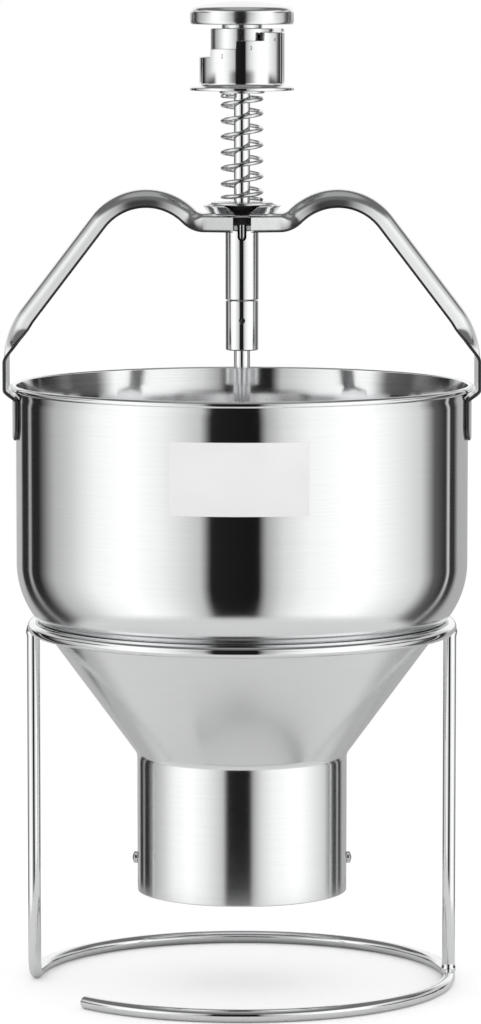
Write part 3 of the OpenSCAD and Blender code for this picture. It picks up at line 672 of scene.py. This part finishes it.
def channelRings(stations):
    # half of the sheet's middle line: web, bent corner, side; the corner turns by closedTurn (1 - opened),
    # the side grows with opened^3, and below 0 the corner is pressed tighter at the same height
    x, z, normal, opened, half, wrap, thick, swell = [column[:, None] for column in stations.T]
    turn = np.maximum(closedTurn * (1 - opened), handle["flattest"])
    pressed = (-opened / handle["hubSquare"]).clip(0, 1)
    bow = cornerRun / turn * (1 - (1 - handle["hubCorner"]) * pressed)
    middle = webHalf + swell
    squareLeg = (handle["height"] - halfSheet * (1 + np.cos(turn)) - bow * (1 - np.cos(turn))) / np.sin(turn)
    openLeg = closedLeg + (half - middle - cornerRun - closedLeg) * opened ** 3
    leg = np.where(opened < 0, squareLeg, openLeg)
    a = turn * np.linspace(0, 1, handleRows["bend"])
    web = np.linspace(0, 1, handleRows["web"])[None, :-1] * middle
    reach = (leg - handle["edge"]) * np.linspace(0, 1, handleRows["side"])[1:-1]
    endAcross = middle + bow * np.sin(turn)
    endAlong = bow * (np.cos(turn) - 1)
    across = np.hstack([web, middle + bow * np.sin(a), endAcross + reach * np.cos(turn)])
    along = np.hstack([0 * web, bow * (np.cos(a) - 1), endAlong - reach * np.sin(turn)])
    bent = np.hstack([0 * web, a, turn + 0 * reach])
    # round the free edge: past runs along the side, level across the sheet
    q = np.linspace(0, math.pi / 2, handleRows["edge"])
    past = np.concatenate([np.sin(q) - 1, np.sin(q[::-1]) - 1]) * handle["edge"]
    level = 1 + (np.cos(q) - 1) * handle["edge"] / halfSheet
    level = np.concatenate([level, -level[::-1]])
    edgeAcross = endAcross + (leg + past) * np.cos(turn)
    edgeAlong = endAlong - (leg + past) * np.sin(turn)
    # outer face from the middle to the back edge, the edge, and the inner face back to the middle
    edgeStart = across.shape[1]
    face = np.concatenate([np.ones(edgeStart), level, -np.ones(edgeStart)])
    across = np.hstack([across, edgeAcross, across[:, ::-1]])
    along = np.hstack([along, edgeAlong, along[:, ::-1]])
    bent = np.hstack([bent, turn + 0 * past, bent[:, ::-1]])
    y = across + thick * halfSheet * face * np.sin(bent)
    out = along + thick * halfSheet * face * np.cos(bent)
    y = np.hstack([y, -y[:, -2:0:-1]])
    out = np.hstack([out, out[:, -2:0:-1]])
    placeX = x + out * np.cos(normal)
    wrapTurn = wrap * y / bowl["radius"]
    rings = stacked(placeX * np.cos(wrapTurn), y * (1 - wrap) + placeX * np.sin(wrapTurn),
                      z + out * np.sin(normal))
    girth = np.hstack([across, across[:, -2:0:-1] + handle["backRun"]])
    # the cut edge's columns, which get painted shade
    paintedShadeEdge = np.abs(face) < 1
    paintedShadeEdge[edgeStart] = True
    return rings, girth, np.hstack([paintedShadeEdge, paintedShadeEdge[-2:0:-1]])


rightRings, rightGirth, paintedShadeEdge = channelRings(rightHalf)
barRings = np.vstack([rightRings[:0:-1] * [-1, 1, 1], rightRings])
crestStep = np.linalg.norm(np.diff(rightHalf[:, :2], axis=0), axis=1)
crestRun = np.concatenate([[0], np.cumsum(crestStep)])
barRun = np.concatenate([-crestRun[:0:-1], crestRun])[:, None]
barGirth = np.vstack([rightGirth[:0:-1], rightGirth])
# along the bar, round it, and 1 on the cut edges, where shade is painted
barLine = stacked(barRun * mm, barGirth * mm, paintedShadeEdge)
barShape = (barRings.reshape(-1, 3), tubeFaces(*barRings.shape[:2]))
handleBar = putMesh("handleBar", barShape, barSteel, run=barLine.reshape(-1, 3), sharp=handle["sharp"])
# the sides are cut away under the hub, where the guide tube stands
notchFoot = hubTop - handle["height"] - handle["notchPast"]
notchTop = hubTop - handle["sheet"] + handle["notchSkin"]
notchOutline = np.array([[-1, notchFoot], [1, notchFoot], [1, notchTop], [-1, notchTop]])
notchOutline = notchOutline * [handle["notch"], 1]
cutAway(handleBar, frontPrism(notchOutline, -handle["width"], handle["width"]), sharp=handle["sharp"])
place(handleBar, "dropper", "brushed_bar", "handle_bar")
print("handle made")


# Guide tube with its front slot, the seat dish and the two washers

rodBore = 4.3  # pieces that slide on the rod
rodFit = 4.05  # pieces that are fixed on it
guide = dict(wall=2.0, slot=4.4, slotDepth=8.0, slotRows=24, past=1.0, front=2.0, edge=0.35)
guideRadius, _, guideTop = nodeTurned("guide_tube")
guideTube = bored("guideTube", "guide_tube", "dropper", turnedSteel, "turned_steel",
                  guideRadius - guide["wall"], edge=guide["edge"])
slotHalf = guide["slot"] / 2
slotTurn = np.linspace(-math.pi, 0, guide["slotRows"])
slotLow = guideTop - guide["slotDepth"] + slotHalf
slotHigh = guideTop + guide["past"]
slotOutline = np.vstack([
    arcAt((0, slotLow), slotHalf, slotTurn), [[slotHalf, slotHigh], [-slotHalf, slotHigh]]])
cutAway(guideTube, frontPrism(slotOutline, -guideRadius - guide["front"], 0.0))

dish = dict(footRadius=17.4, taper=0.6, waist=2.0, hollow=9.0, edge=0.4, boreEdge=0.3, lip=1.2, lipSlope=0.8,
            lipRound=0.6, sink=1.4, boss=15.8, bossSlope=0.5)
dishRadius, dishFoot, dishTop = nodeTurned("seat_dish")
dishLip = dishRadius - dish["lip"]
dishFloor = dishTop - dish["sink"]
dishOutline = rounded([
    (rodBore, dishFoot, dish["boreEdge"]), (dish["footRadius"] - dish["taper"], dishFoot, dish["edge"]),
    (dish["footRadius"] + dish["taper"], dishFoot + dish["waist"], dish["hollow"]),
    (dishRadius, dishTop, dish["edge"]), (dishLip, dishTop, dish["edge"]),
    (dishLip - dish["lipSlope"], dishFloor, dish["lipRound"]),
    (dish["boss"] + dish["bossSlope"], dishFloor, dish["bossSlope"]),
    (dish["boss"], dishTop, dish["boreEdge"]),
    (rodBore, dishTop, dish["boreEdge"])])
seatDish = putMesh("seatDish", lathe(dishOutline), turnedSteel)

# the dish is open in front, where a near-black collar round the rod shows: painted shade, standing in for the
# shade inside the dish
mouth = dict(topHalf=9.6, footHalf=3.4, curve=1.8, rows=14, under=0.5, over=0.6, front=2.0, depth=6.0)
mouthRise = np.linspace(0, 1, mouth["rows"])
mouthX = mouth["footHalf"] + (mouth["topHalf"] - mouth["footHalf"]) * mouthRise ** mouth["curve"]
mouthZ = dishFoot - mouth["under"] + (dishTop + mouth["over"] - dishFoot) * mouthRise
mouthOutline = np.vstack([stacked(mouthX, mouthZ), stacked(-mouthX, mouthZ)[::-1]])
cutAway(seatDish, frontPrism(mouthOutline, -dishRadius - mouth["front"], -mouth["depth"]))
collar = dict(foot=8.0, top=11.5, gap=0.1, sink=0.3, boreEdge=0.2, edge=0.3, flare=4.0, columns=128)
collarFoot, collarTop = guideTop + collar["gap"], dishTop - collar["sink"]
collarOutline = rounded([
    (rodBore, collarFoot, collar["boreEdge"]), (collar["foot"], collarFoot, collar["edge"]),
    (collar["foot"], dishFoot, collar["flare"]), (collar["top"], collarTop, collar["edge"]),
    (rodBore, collarTop, collar["boreEdge"])])
shadeCollar = putMesh("shadeCollar", lathe(collarOutline, collar["columns"]), collarShadeBlack)
place(shadeCollar, "dropper", "bush_bronze")
place(seatDish, "dropper", "turned_steel", "seat_dish")

washer = dict(edge=0.35, columns=128)
bored("lowerWasher", "spring_washer_lower", "dropper", fastenerSteel, "fastener_steel", rodBore, **washer)
bored("upperWasher", "spring_washer_upper", "cup_seat", fastenerSteel, "fastener_steel", rodBore, **washer)

# Spring: a helix with close, flattened end turns
coil = dict(wire=2.1, pitch=7.8, closeTurns=0.75, closeGap=0.7, seatGap=0.05, around=16, perTurn=56,
            topTurns=10.5, soften=25, endRound=0.6, endThin=0.12)
coilLow, coilHigh = nodeBox("spring")
springFoot = nodeTurned("spring_washer_lower")[2]
springTop = nodeTurned("spring_washer_upper")[1]
coilRadius = (coilHigh[0] - coilLow[0] - coil["wire"]) / 2
closePitch = coil["wire"] + coil["closeGap"]
coilRise = springTop - springFoot - coil["wire"] - 2 * coil["seatGap"]
turns = (coilRise - 2 * coil["closeTurns"] * closePitch) / coil["pitch"] + 2 * coil["closeTurns"]
s = np.linspace(0, turns, int(turns * coil["perTurn"]))
climb = np.minimum(s, coil["closeTurns"]) * closePitch
climb += np.clip(s - coil["closeTurns"], 0, turns - 2 * coil["closeTurns"]) * coil["pitch"]
climb += np.clip(s - turns + coil["closeTurns"], 0, None) * closePitch
# a moving mean softens the change of pitch
padded = np.pad(climb, coil["soften"] // 2, mode="reflect", reflect_type="odd")
climb = np.convolve(padded, np.ones(coil["soften"]) / coil["soften"], "valid")
coilOut = stacked(np.cos(fullTurn * s), np.sin(fullTurn * s), 0)
coilPath = coilRadius * coilOut
coilPath[:, 2] = springFoot + coil["wire"] / 2 + coil["seatGap"] + climb
coilDirection = np.gradient(coilPath, axis=0)
coilDirection /= np.linalg.norm(coilDirection, axis=1)[:, None]
coilUp = np.cross(coilOut, coilDirection)
coilEnd = np.minimum(s, turns - s) * fullTurn * coilRadius
coilScale = np.sqrt(1 - (1 - np.clip(coilEnd / coil["endRound"], coil["endThin"], 1)) ** 2)
# the lower turns stay on the dropper, the last turns ride on the plunger
partTurn = np.searchsorted(coilPath[:, 2], springTop - coil["topTurns"])
partHeight = coilPath[partTurn, 2]
stroke = {joint["name"]: -joint["range_m"][0] / mm for joint in frame["joints"]
          if joint["name"] in ("plunger_press", "cup_pull")}


def springTurns(name, body, joint, run, low, high):
    # the helix along a run of its path, on a body; the share that the joint's stroke would leave between two
    # heights is worked out but not used
    section = circle(coil["wire"] / 2, coil["around"])
    wire = tube(coilPath[run], coilOut[run], coilUp[run], section, coilScale[run])
    piece = putMesh(name, wire, springSteel)
    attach(piece, body)
    keep = (high - low - stroke[joint]) / (high - low)
    low * mm
    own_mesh(piece)
    return piece


returnSpring = springTurns("returnSpring", "dropper", "plunger_press", slice(0, partTurn + 1),
                           springFoot, partHeight)
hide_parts("spring")
springTurns("springTopTurns", "plunger", "cup_pull", slice(partTurn, None), partHeight, springTop)
print("guide and spring made")


# Dosing cup with its stepped rim, and the knob over it

cup = dict(wallRadius=21.0, wall=4.4, flange=1.7, flangeEdge=0.5, flare=3.8, floor=3.0, floorRound=1.0,
           boreEdge=0.3, boreLip=0.4, edge=0.3, stepBase=16.6, stepRise=4.05, stepRun=0.9, stepRows=9,
           stepAngles=(-138.0, -98.0, -58.0), lastAngle=60.0, start=-175.0, plainStep=2.0,
           rimBand=1.2, rimGap=1.5, sharp=45)
flangeRadius, cupFoot = nodeTurned("dosing_cup")[:2]
lowStep = cupFoot + cup["stepBase"]
near = np.linspace(-1, 1, cup["stepRows"]) * cup["stepRun"]
bends = [np.radians(at + near) for at in (*cup["stepAngles"], cup["lastAngle"])]
plain = np.radians(np.arange(cup["start"], cup["start"] + 360, cup["plainStep"]))
cupTurn = np.sort(np.concatenate([plain, *bends]))


def risen(at):
    # 0 before an angle in degrees, 1 after it
    return ease((np.degrees(cupTurn) - at) / cup["stepRun"] + 0.5)


steps = sum(risen(at) for at in cup["stepAngles"]) - len(cup["stepAngles"]) * risen(cup["lastAngle"])
rim = lowStep + cup["stepRise"] * steps
wallIn = cup["wallRadius"] - cup["wall"]
wallTop = lowStep - cup["rimGap"]
flangeTop = cupFoot + cup["flange"]
cupFloor = cupFoot + cup["floor"]
rimMark = 1000.0  # outline points near this height ride on the rim
cupOutline = rounded([
    (rodBore, cupFoot, cup["boreEdge"]), (flangeRadius, cupFoot, cup["flangeEdge"]),
    (flangeRadius, flangeTop, cup["flangeEdge"]), (cup["wallRadius"], flangeTop, cup["flare"]),
    (cup["wallRadius"], wallTop, 0)], closed=False)
rimOutline = rounded([
    (cup["wallRadius"], rimMark - cup["rimBand"], 0), (cup["wallRadius"], rimMark, cup["edge"]),
    (wallIn, rimMark, cup["edge"]), (wallIn, rimMark - cup["rimBand"], 0)], closed=False)
floorOutline = rounded([
    (wallIn, wallTop, 0), (wallIn, cupFloor, cup["floorRound"]), (rodBore, cupFloor, cup["boreEdge"]),
    (rodBore, cupFoot + cup["boreLip"], 0)], closed=False)
cupProfile = np.vstack([cupOutline, rimOutline, floorOutline])
cupR, cupZ = cupProfile[:, :1], cupProfile[:, 1:]
cupHeight = np.where(cupZ > rimMark / 2, cupZ - rimMark + rim, cupZ + 0 * rim)
cupPoints = stacked(cupR * np.cos(cupTurn), cupR * np.sin(cupTurn), cupHeight).reshape(-1, 3)
cupShape = (cupPoints, [gridFaces(len(cupProfile), len(cupTurn), closedRows=True)])
dosingCup = putMesh("dosingCup", cupShape, knobSteel, sharp=cup["sharp"])
place(dosingCup, "dosing_cup", "knob_chrome", "dosing_cup")

# plain engraved numbers under the steps, one to four
digit = dict(size=3.0, depth=0.02, drop=4.6, curve=4, angles=(-158.0, -118.0, -78.0, -40.0))
markLook = dict(grain=2500.0, detail=2.0, rough=0.45, grainGloss=0.2, metal=0.6,
                dark=(0.10, 0.10, 0.105), pale=(0.20, 0.20, 0.205))


def engrave(text, atAngle, height):
    # a flat figure laid on the cup's wall: x becomes an angle, y a height
    curve = bpy.data.curves.new("figure", "FONT")
    curve.body = text
    curve.size = digit["size"]
    curve.align_x = "CENTER"
    curve.resolution_u = digit["curve"]
    figure = bpy.data.objects.new("figure", curve)
    bpy.context.scene.collection.objects.link(figure)
    graph = bpy.context.evaluated_depsgraph_get()
    mesh = bpy.data.meshes.new_from_object(figure.evaluated_get(graph))
    bpy.data.objects.remove(figure)
    flat = np.zeros(len(mesh.vertices) * 3)
    mesh.vertices.foreach_get("co", flat)
    flat = flat.reshape(-1, 3)
    faces = [np.array([list(face.vertices)]) for face in mesh.polygons]
    turned = math.radians(atAngle) + flat[:, 0] / cup["wallRadius"]
    radius = cup["wallRadius"] + digit["depth"]
    return stacked(radius * np.cos(turned), radius * np.sin(turned), height + flat[:, 1]), faces


figures = [engrave(str(i + 1), at, lowStep + i * cup["stepRise"] - digit["drop"])
           for i, at in enumerate(digit["angles"])]
stepNumbers = putMesh("stepNumbers", joined(*figures), grainFinish("engravedMark", markLook))
place(stepNumbers, "dosing_cup", "knob_chrome")

cap = dict(dome=3.6, edge=3.0, neck=10.0, neckEdge=0.3, neckRound=0.4, gap=2.0, footIn=0.5, footEdge=0.8,
           sideRise=1.2, sideRound=2.0, edgeRows=24, domeRows=30)
capRadius, capLow, capHigh = nodeTurned("knob_cap")
sleeveLow, sleeveHigh = nodeBox("stop_sleeve")
sleeveFoot, sleeveTop = sleeveLow[2], sleeveHigh[2]
capFoot = sleeveTop + cap["gap"]
# the edge's circle touches the dome's circle and the side
domeRadius = (capRadius ** 2 + cap["dome"] ** 2) / (2 * cap["dome"])
domeCentre = capHigh - domeRadius
edgeOut = capRadius - cap["edge"]
edgeRise = math.sqrt((domeRadius - cap["edge"]) ** 2 - edgeOut ** 2)
touch = math.atan2(edgeRise, edgeOut)
edgeTurn = np.linspace(0, touch, cap["edgeRows"])
edgeArc = arcAt((edgeOut, domeCentre + edgeRise), cap["edge"], edgeTurn)
domeTurn = np.linspace(touch, math.pi / 2, cap["domeRows"])[1:]
domeArc = arcAt((0, domeCentre), domeRadius, domeTurn)
capOutline = rounded([
    (0, capLow, 0), (cap["neck"], capLow, cap["neckEdge"]), (cap["neck"], capFoot, cap["neckRound"]),
    (capRadius - cap["footIn"], capFoot, cap["footEdge"]),
    (capRadius, capFoot + cap["sideRise"], cap["sideRound"]), (*edgeArc[0], 0)], closed=False)
capOutline = np.vstack([capOutline[:-1], edgeArc, domeArc])
knobCap = putMesh("knobCap", lathe(capOutline, closed=False), capSteel)
place(knobCap, "plunger", "knob_chrome", "knob_cap")

sleeve = dict(radius=15.5, bore=4.1, edge=0.3, lugRoot=1.0, lugThick=1.6, lugAngle=16.0, lugMiddle=-15.0,
              lugColumns=12)
sleeveShape = lathe(ringOutline(sleeve["bore"], sleeve["radius"], sleeveFoot, sleeveTop, sleeve["edge"]))
lugIn, lugFoot = sleeve["radius"] - sleeve["lugRoot"], sleeveTop - sleeve["lugThick"]
lugSection = rounded([
    (lugIn, lugFoot, 0), (cup["wallRadius"], lugFoot, sleeve["edge"]),
    (cup["wallRadius"], sleeveTop, sleeve["edge"]), (lugIn, sleeveTop, 0)])
lugTurn = sleeve["lugMiddle"] + sleeve["lugAngle"] * np.linspace(-0.5, 0.5, sleeve["lugColumns"])
stopSleeve = putMesh("stopSleeve", joined(sleeveShape, sector(lugSection, np.radians(lugTurn))), capSteel)
place(stopSleeve, "plunger", "knob_chrome", "stop_sleeve")
print("knob made")


# Plunger: rods, coupling, piston, spacer, disc and nuts

def rod(name, node, chamfer=0.5, columns=96):
    # a round rod whose ends are eased
    radius, foot, top = nodeTurned(node)
    outline = rounded([
        (0, foot, 0), (radius, foot, chamfer), (radius, top, chamfer), (0, top, 0)], closed=False)
    piece = putMesh(name, lathe(outline, columns, closed=False), turnedSteel)
    return place(piece, "plunger", "turned_steel", node)


rod("upperRod", "upper_rod")
rod("lowerRod", "lower_rod")
coupling = bored("rodCoupling", "coupling", "plunger", turnedSteel, "turned_steel", rodFit, edge=0.5)

# the cross pin lies in a hole that is countersunk at both ends
pin = dict(half=5.2, gap=0.05, columns=40, holeReach=12.0, sinkOut=0.5, sinkIn=0.4, sink=1.7)
pinLow, pinHigh = nodeBox("coupling_pin")
pinRadius = (pinHigh[0] - pinLow[0]) / 2
pinMiddle = (pinHigh[2] + pinLow[2]) / 2
couplingRadius = nodeTurned("coupling")[0]


def crossTube(y, radius, scale=None):
    # a round bar across the axis at the pin's height, along y
    path = stacked(0, y, pinMiddle)
    section = circle(radius, pin["columns"])
    return tube(path, alike((1, 0, 0), len(y)), alike((0, 0, 1), len(y)), section, scale)


holeY = np.array([-pin["holeReach"], -couplingRadius - pin["sinkOut"], -couplingRadius + pin["sinkIn"]])
holeScale = np.array([pin["sink"], pin["sink"], 1.0])
holeShape = crossTube(np.concatenate([holeY, -holeY[::-1]]), pinRadius + pin["gap"],
                      np.concatenate([holeScale, holeScale[::-1]]))
cutAway(coupling, holeShape)
crossPin = putMesh("crossPin", crossTube(np.array([-pin["half"], pin["half"]]), pinRadius), fastenerSteel)
place(crossPin, "plunger", "fastener_steel", "coupling_pin")

# piston and cutter disc each have a small ring that centres the spacer tube
spigot = dict(rise=2.0, wall=2.0, gap=0.05, edge=0.3, rootEdge=0.2, plateEdge=0.6)
spacerRadius = nodeTurned("spacer_tube")[0]
spigotOut = spacerRadius - spigot["wall"] - spigot["gap"]


def plate(name, node, spigotUp):
    # a plate with eased edges, and its spigot over or under it
    radius, foot, top = nodeTurned(node)
    root, end = (top - spigot["rise"], top) if spigotUp else (foot + spigot["rise"], foot)
    far = foot if spigotUp else top
    outline = rounded([
        (rodFit, far, spigot["edge"]), (radius, far, spigot["plateEdge"]),
        (radius, root, spigot["plateEdge"]), (spigotOut, root, spigot["rootEdge"]),
        (spigotOut, end, spigot["edge"]), (rodFit, end, spigot["edge"])])
    piece = putMesh(name, lathe(outline), turnedSteel)
    return place(piece, "plunger", "turned_steel", node)


plate("piston", "piston", False)
plate("cutterDisc", "cutter_disc", True)
bored("spacerTube", "spacer_tube", "plunger", turnedSteel, "turned_steel", spacerRadius - spigot["wall"])
die = dict(bore=46.0, edge=0.8, columns=240)
bored("dieRing", "die_ring", "dropper", turnedSteel, "turned_steel", **die)

hexNut = dict(columns=144, ring=0.97, cone=30.0, domeBody=5.0, domeShare=0.9, domeRows=14, sharp=25)


def hexRadius(across, a):
    # distance of a hexagon's side from its middle: across / 2 / cos(angle to the flat's middle)
    return across / 2 / np.cos((a + math.pi / 6) % (math.pi / 3) - math.pi / 6)


def nutRows(across, a, foot, top):
    # rows of a hexagon nut whose two ends are turned to a cone: z shifts by (hexagon - ring) tan cone
    outer = hexRadius(across, a)
    ring = hexNut["ring"] * across / 2
    shift = (outer - ring) * math.tan(math.radians(hexNut["cone"]))
    return [(rodFit, foot), (ring, foot), (outer, foot + shift),
            (outer, top - shift), (ring, top), (rodFit, top)]


def nut(name, node, domed=False):
    low, high = nodeBox(node)
    across = high[1] - low[1]
    a = np.linspace(0, fullTurn, hexNut["columns"], endpoint=False)
    foot = high[2] - hexNut["domeBody"] if domed else low[2]
    rows = nutRows(across, a, foot, high[2])
    if domed:
        # a cap of a ball: r = ball sin b, z = low + ball (1 - cos b)
        edge, drop = across / 2 * hexNut["domeShare"], foot - low[2]
        ball = (edge ** 2 + drop ** 2) / (2 * drop)
        spread = np.linspace(0, math.asin(edge / ball), hexNut["domeRows"])
        dome = [(ball * math.sin(b), low[2] + ball * (1 - math.cos(b))) for b in spread]
        rows = dome + rows[1:]
    points = np.stack([stacked(r * np.cos(a), r * np.sin(a), z) for r, z in rows]).reshape(-1, 3)
    shape = (points, [gridFaces(len(rows), len(a), closedRows=not domed)])
    piece = putMesh(name, shape, fastenerSteel, sharp=hexNut["sharp"])
    return place(piece, "plunger", "fastener_steel", node)


nut("knobLockNut", "knob_lock_nut")
nut("pistonNut", "piston_nut")
nut("endNut", "end_nut", domed=True)

# Two side screws: round heads with a driver slot, turned about the X axis
screw = dict(shank=2.0, shankEdge=0.3, tip=47.5, seat=0.05, headEdge=0.25, side=0.3, edge=0.5, crown=0.9,
             crownRows=26, columns=120, slotHalf=0.55, slotDepth=0.9, slotSoft=0.12, slotAbove=0.8)
screwLow, screwHigh = nodeBox("die_screws")
headRadius = (screwHigh[1] - screwLow[1]) / 2
screwHeight = (screwHigh[2] + screwLow[2]) / 2
headFoot = outletOuter + screw["seat"]
crownOut = np.linspace(0, headRadius - screw["edge"], screw["crownRows"])
crownArc = stacked(crownOut, screwHigh[0] - screw["crown"] * (crownOut / headRadius) ** 2)
headOutline = rounded([
    (0, screw["tip"], 0), (screw["shank"], screw["tip"], screw["shankEdge"]), (screw["shank"], headFoot, 0),
    (headRadius, headFoot, screw["headEdge"]), (headRadius, crownArc[-1][1] - screw["side"], screw["edge"]),
    (*crownArc[-1], 0)], closed=False)
headProfile = np.vstack([headOutline[:-1], crownArc[::-1]])
headPoints, headFaces = lathe(headProfile, screw["columns"], closed=False)
fromSlot = screw["slotHalf"] + screw["slotSoft"] - np.abs(headPoints[:, 0])
sunk = ease(fromSlot / (2 * screw["slotSoft"])) * (headPoints[:, 2] > headFoot + screw["slotAbove"])
headPoints[:, 2] -= screw["slotDepth"] * sunk
rightScrew = stacked(headPoints[:, 2], headPoints[:, 0], headPoints[:, 1] + screwHeight)
leftScrew = rightScrew * [-1, -1, 1]
sideScrews = putMesh("sideScrews", joined((rightScrew, headFaces), (leftScrew, headFaces)), fastenerSteel)
place(sideScrews, "dropper", "fastener_steel", "die_screws")

# pieces that stay as the frame has them
for node in ("guide_bush_upper", "guide_bush_lower"):
    frame["nodes"][node].data.materials.clear()
    frame["nodes"][node].data.materials.append(bushBronze)
print("plunger made")


# Stage: pale floor, white surroundings with the studio's dark gaps, camera

floor = dict(size=30.0, pale=0.93, mirrorShade=0.48, rough=0.8, mirrorShadeFront=0.42, rear=(0.03, 0.12), fade=(0.25, 0.60),
             mirrorEdge=(0.27, 0.33), glow=0.21)
half = floor["size"] / 2
floorMesh = bpy.data.meshes.new("floor")
floorCorners = [(-half, -half, 0), (half, -half, 0), (half, half, 0), (-half, half, 0)]
floorMesh.from_pydata(floorCorners, [], [(0, 1, 2, 3)])
floorPiece = bpy.data.objects.new("floor", floorMesh)
bpy.context.scene.collection.objects.link(floorPiece)
floorFinish, floorSpot, floorShader = newFinish("paleFloor")
floorMesh.materials.append(floorFinish)
distance = floorSpot.node("ShaderNodeVectorMath", {"operation": "LENGTH"}, {0: floorSpot}, 1)
isCamera = floorSpot.ray("Is Camera Ray")
isGlossy = floorSpot.ray("Is Glossy Ray")
# painted shade: steel sees the floor painted darker, most of all behind the object
mirroredShade = isGlossy * (floor["mirrorShadeFront"] + (1 - floor["mirrorShadeFront"]) * floorSpot.axis(1).step(*floor["rear"]))
floorColour = mirroredShade.blend(grey(floor["pale"]), grey(floor["mirrorShade"]))
feed(floorShader, Base_Color=floorColour, Roughness=floor["rough"])
white = floorSpot.node("ShaderNodeEmission", None, {"Color": (1, 1, 1, 1), "Strength": 1.0})
glowing = {"Color": (1, 1, 1, 1), "Strength": floor["glow"] * isCamera}
glow = floorSpot.node("ShaderNodeEmission", None, glowing)
clear = floorSpot.node("ShaderNodeBsdfTransparent")
matte = Flow(floorFinish.node_tree, floorShader.outputs[0])
lit = floorSpot.node("ShaderNodeAddShader", None, {0: matte, 1: glow})
# the camera sees it fade to white, and past an edge steel sees the studio instead
far = isCamera * distance.step(*floor["fade"])
seen = floorSpot.node("ShaderNodeMixShader", None, {0: far, 1: lit, 2: white})
past = isGlossy * distance.step(*floor["mirrorEdge"])
whole = floorSpot.node("ShaderNodeMixShader", None, {0: past, 1: seen, 2: clear})
floorTree = floorFinish.node_tree
floorTree.links.new(whole.socket, floorTree.nodes["Material Output"].inputs["Surface"])

# levels by the angle from the camera's side, in degrees towards the right; flank and front are the shares
# of their screens, and Away, Rise and Fall are ranges of a direction's part away from the camera or upward
studio = dict(
    levels=((-180, 0.50), (-153, 0.50), (-151, 0.03), (-140, 0.02), (-139, 0.42), (-136, 0.42), (-135, 0.02),
            (-126, 0.02), (-121, 0.16), (-111, 0.49), (-97, 0.68), (-80, 1.03), (-60, 1.20), (-42, 1.0),
            (-30, 0.78), (-21, 0.60), (-16, 0.015), (8.5, 0.008), (12.5, 0.45), (21, 0.78), (34, 1.03),
            (58, 1.20), (70, 1.15), (85, 0.94), (103, 0.70), (115, 0.12), (127.8, 0.02), (128.6, 0.6),
            (131.4, 0.6), (132, 0.03), (138, 0.04), (144, 0.45)),
    flank=0.9, flankLevel=0.02, flankAway=(-0.34, -0.10), flankRise=(0.02, 0.06), flankFall=(0.22, 0.28),
    front=0.72, frontLevel=0.01, frontAway=(-0.98, -0.74), frontRise=(0.02, 0.05), frontFall=(0.11, 0.15),
    rearLevel=0.62, rearAway=(0.15, 0.35), rearRise=(0.12, 0.18), rearFall=(0.38, 0.44),
    gapLevel=0.17, gapRise=(0.50, 0.66), topLevel=0.42, topRise=(0.86, 0.95),
    backAway=(0.72, 0.90), backRise=(-0.01, 0.04), softLevel=1.08)
world = bpy.data.worlds.new("studio")
bpy.context.scene.world = world
world.use_nodes = True
worldTree = world.node_tree
view = Flow(worldTree, worldTree.nodes.new("ShaderNodeTexCoord").outputs["Generated"])
sideways, away, upward = [view.axis(index) for index in range(3)]
turned = view.math("ARCTAN2", sideways, 0 - away) / fullTurn + 0.5
stops = [(degree / 360 + 0.5, level) for degree, level in studio["levels"]]
room = view.node("ShaderNodeValToRGB", {"stops": stops}, {0: turned})
# low screens: dark at the flanks and in front, pale behind
flank = studio["flank"] * away.step(*studio["flankAway"])
flank = flank * upward.band(studio["flankRise"], studio["flankFall"])
room = flank.blend(room, grey(studio["flankLevel"]))
front = studio["front"] * (1 - away.step(*studio["frontAway"]))
front = front * upward.band(studio["frontRise"], studio["frontFall"])
room = front.blend(room, grey(studio["frontLevel"]))
rear = away.step(*studio["rearAway"]) * upward.band(studio["rearRise"], studio["rearFall"])
room = rear.blend(room, grey(studio["rearLevel"]))
# a dim gap above the screens, a paler ceiling, and white straight behind
room = upward.step(*studio["gapRise"]).blend(room, grey(studio["gapLevel"]))
room = upward.step(*studio["topRise"]).blend(room, grey(studio["topLevel"]))
behind = away.step(*studio["backAway"]) * upward.step(*studio["backRise"])
room = behind.blend(room, grey(1))
# matte faces and the camera see plain white
room = view.ray("Is Diffuse Ray").blend(room, grey(studio["softLevel"]))
room = view.ray("Is Camera Ray").blend(room, grey(1))
worldTree.links.new(room.socket, worldTree.nodes["Background"].inputs["Color"])

shot = dict(away=2540.0, height=498.8, aside=-0.75, tilt=5.87, lens=179.8, farthest=100)
camera = bpy.data.cameras.new("photoCamera")
camera.lens = shot["lens"]
camera.clip_end = shot["farthest"]
cameraPiece = bpy.data.objects.new("photoCamera", camera)
cameraPiece.location = (shot["aside"] * mm, -shot["away"] * mm, shot["height"] * mm)
cameraPiece.rotation_euler = (math.radians(90 - shot["tilt"]), 0, 0)
bpy.context.scene.collection.objects.link(cameraPiece)
bpy.context.scene.camera = cameraPiece
bpy.context.scene.view_settings.view_transform = "Standard"
print("stage made")
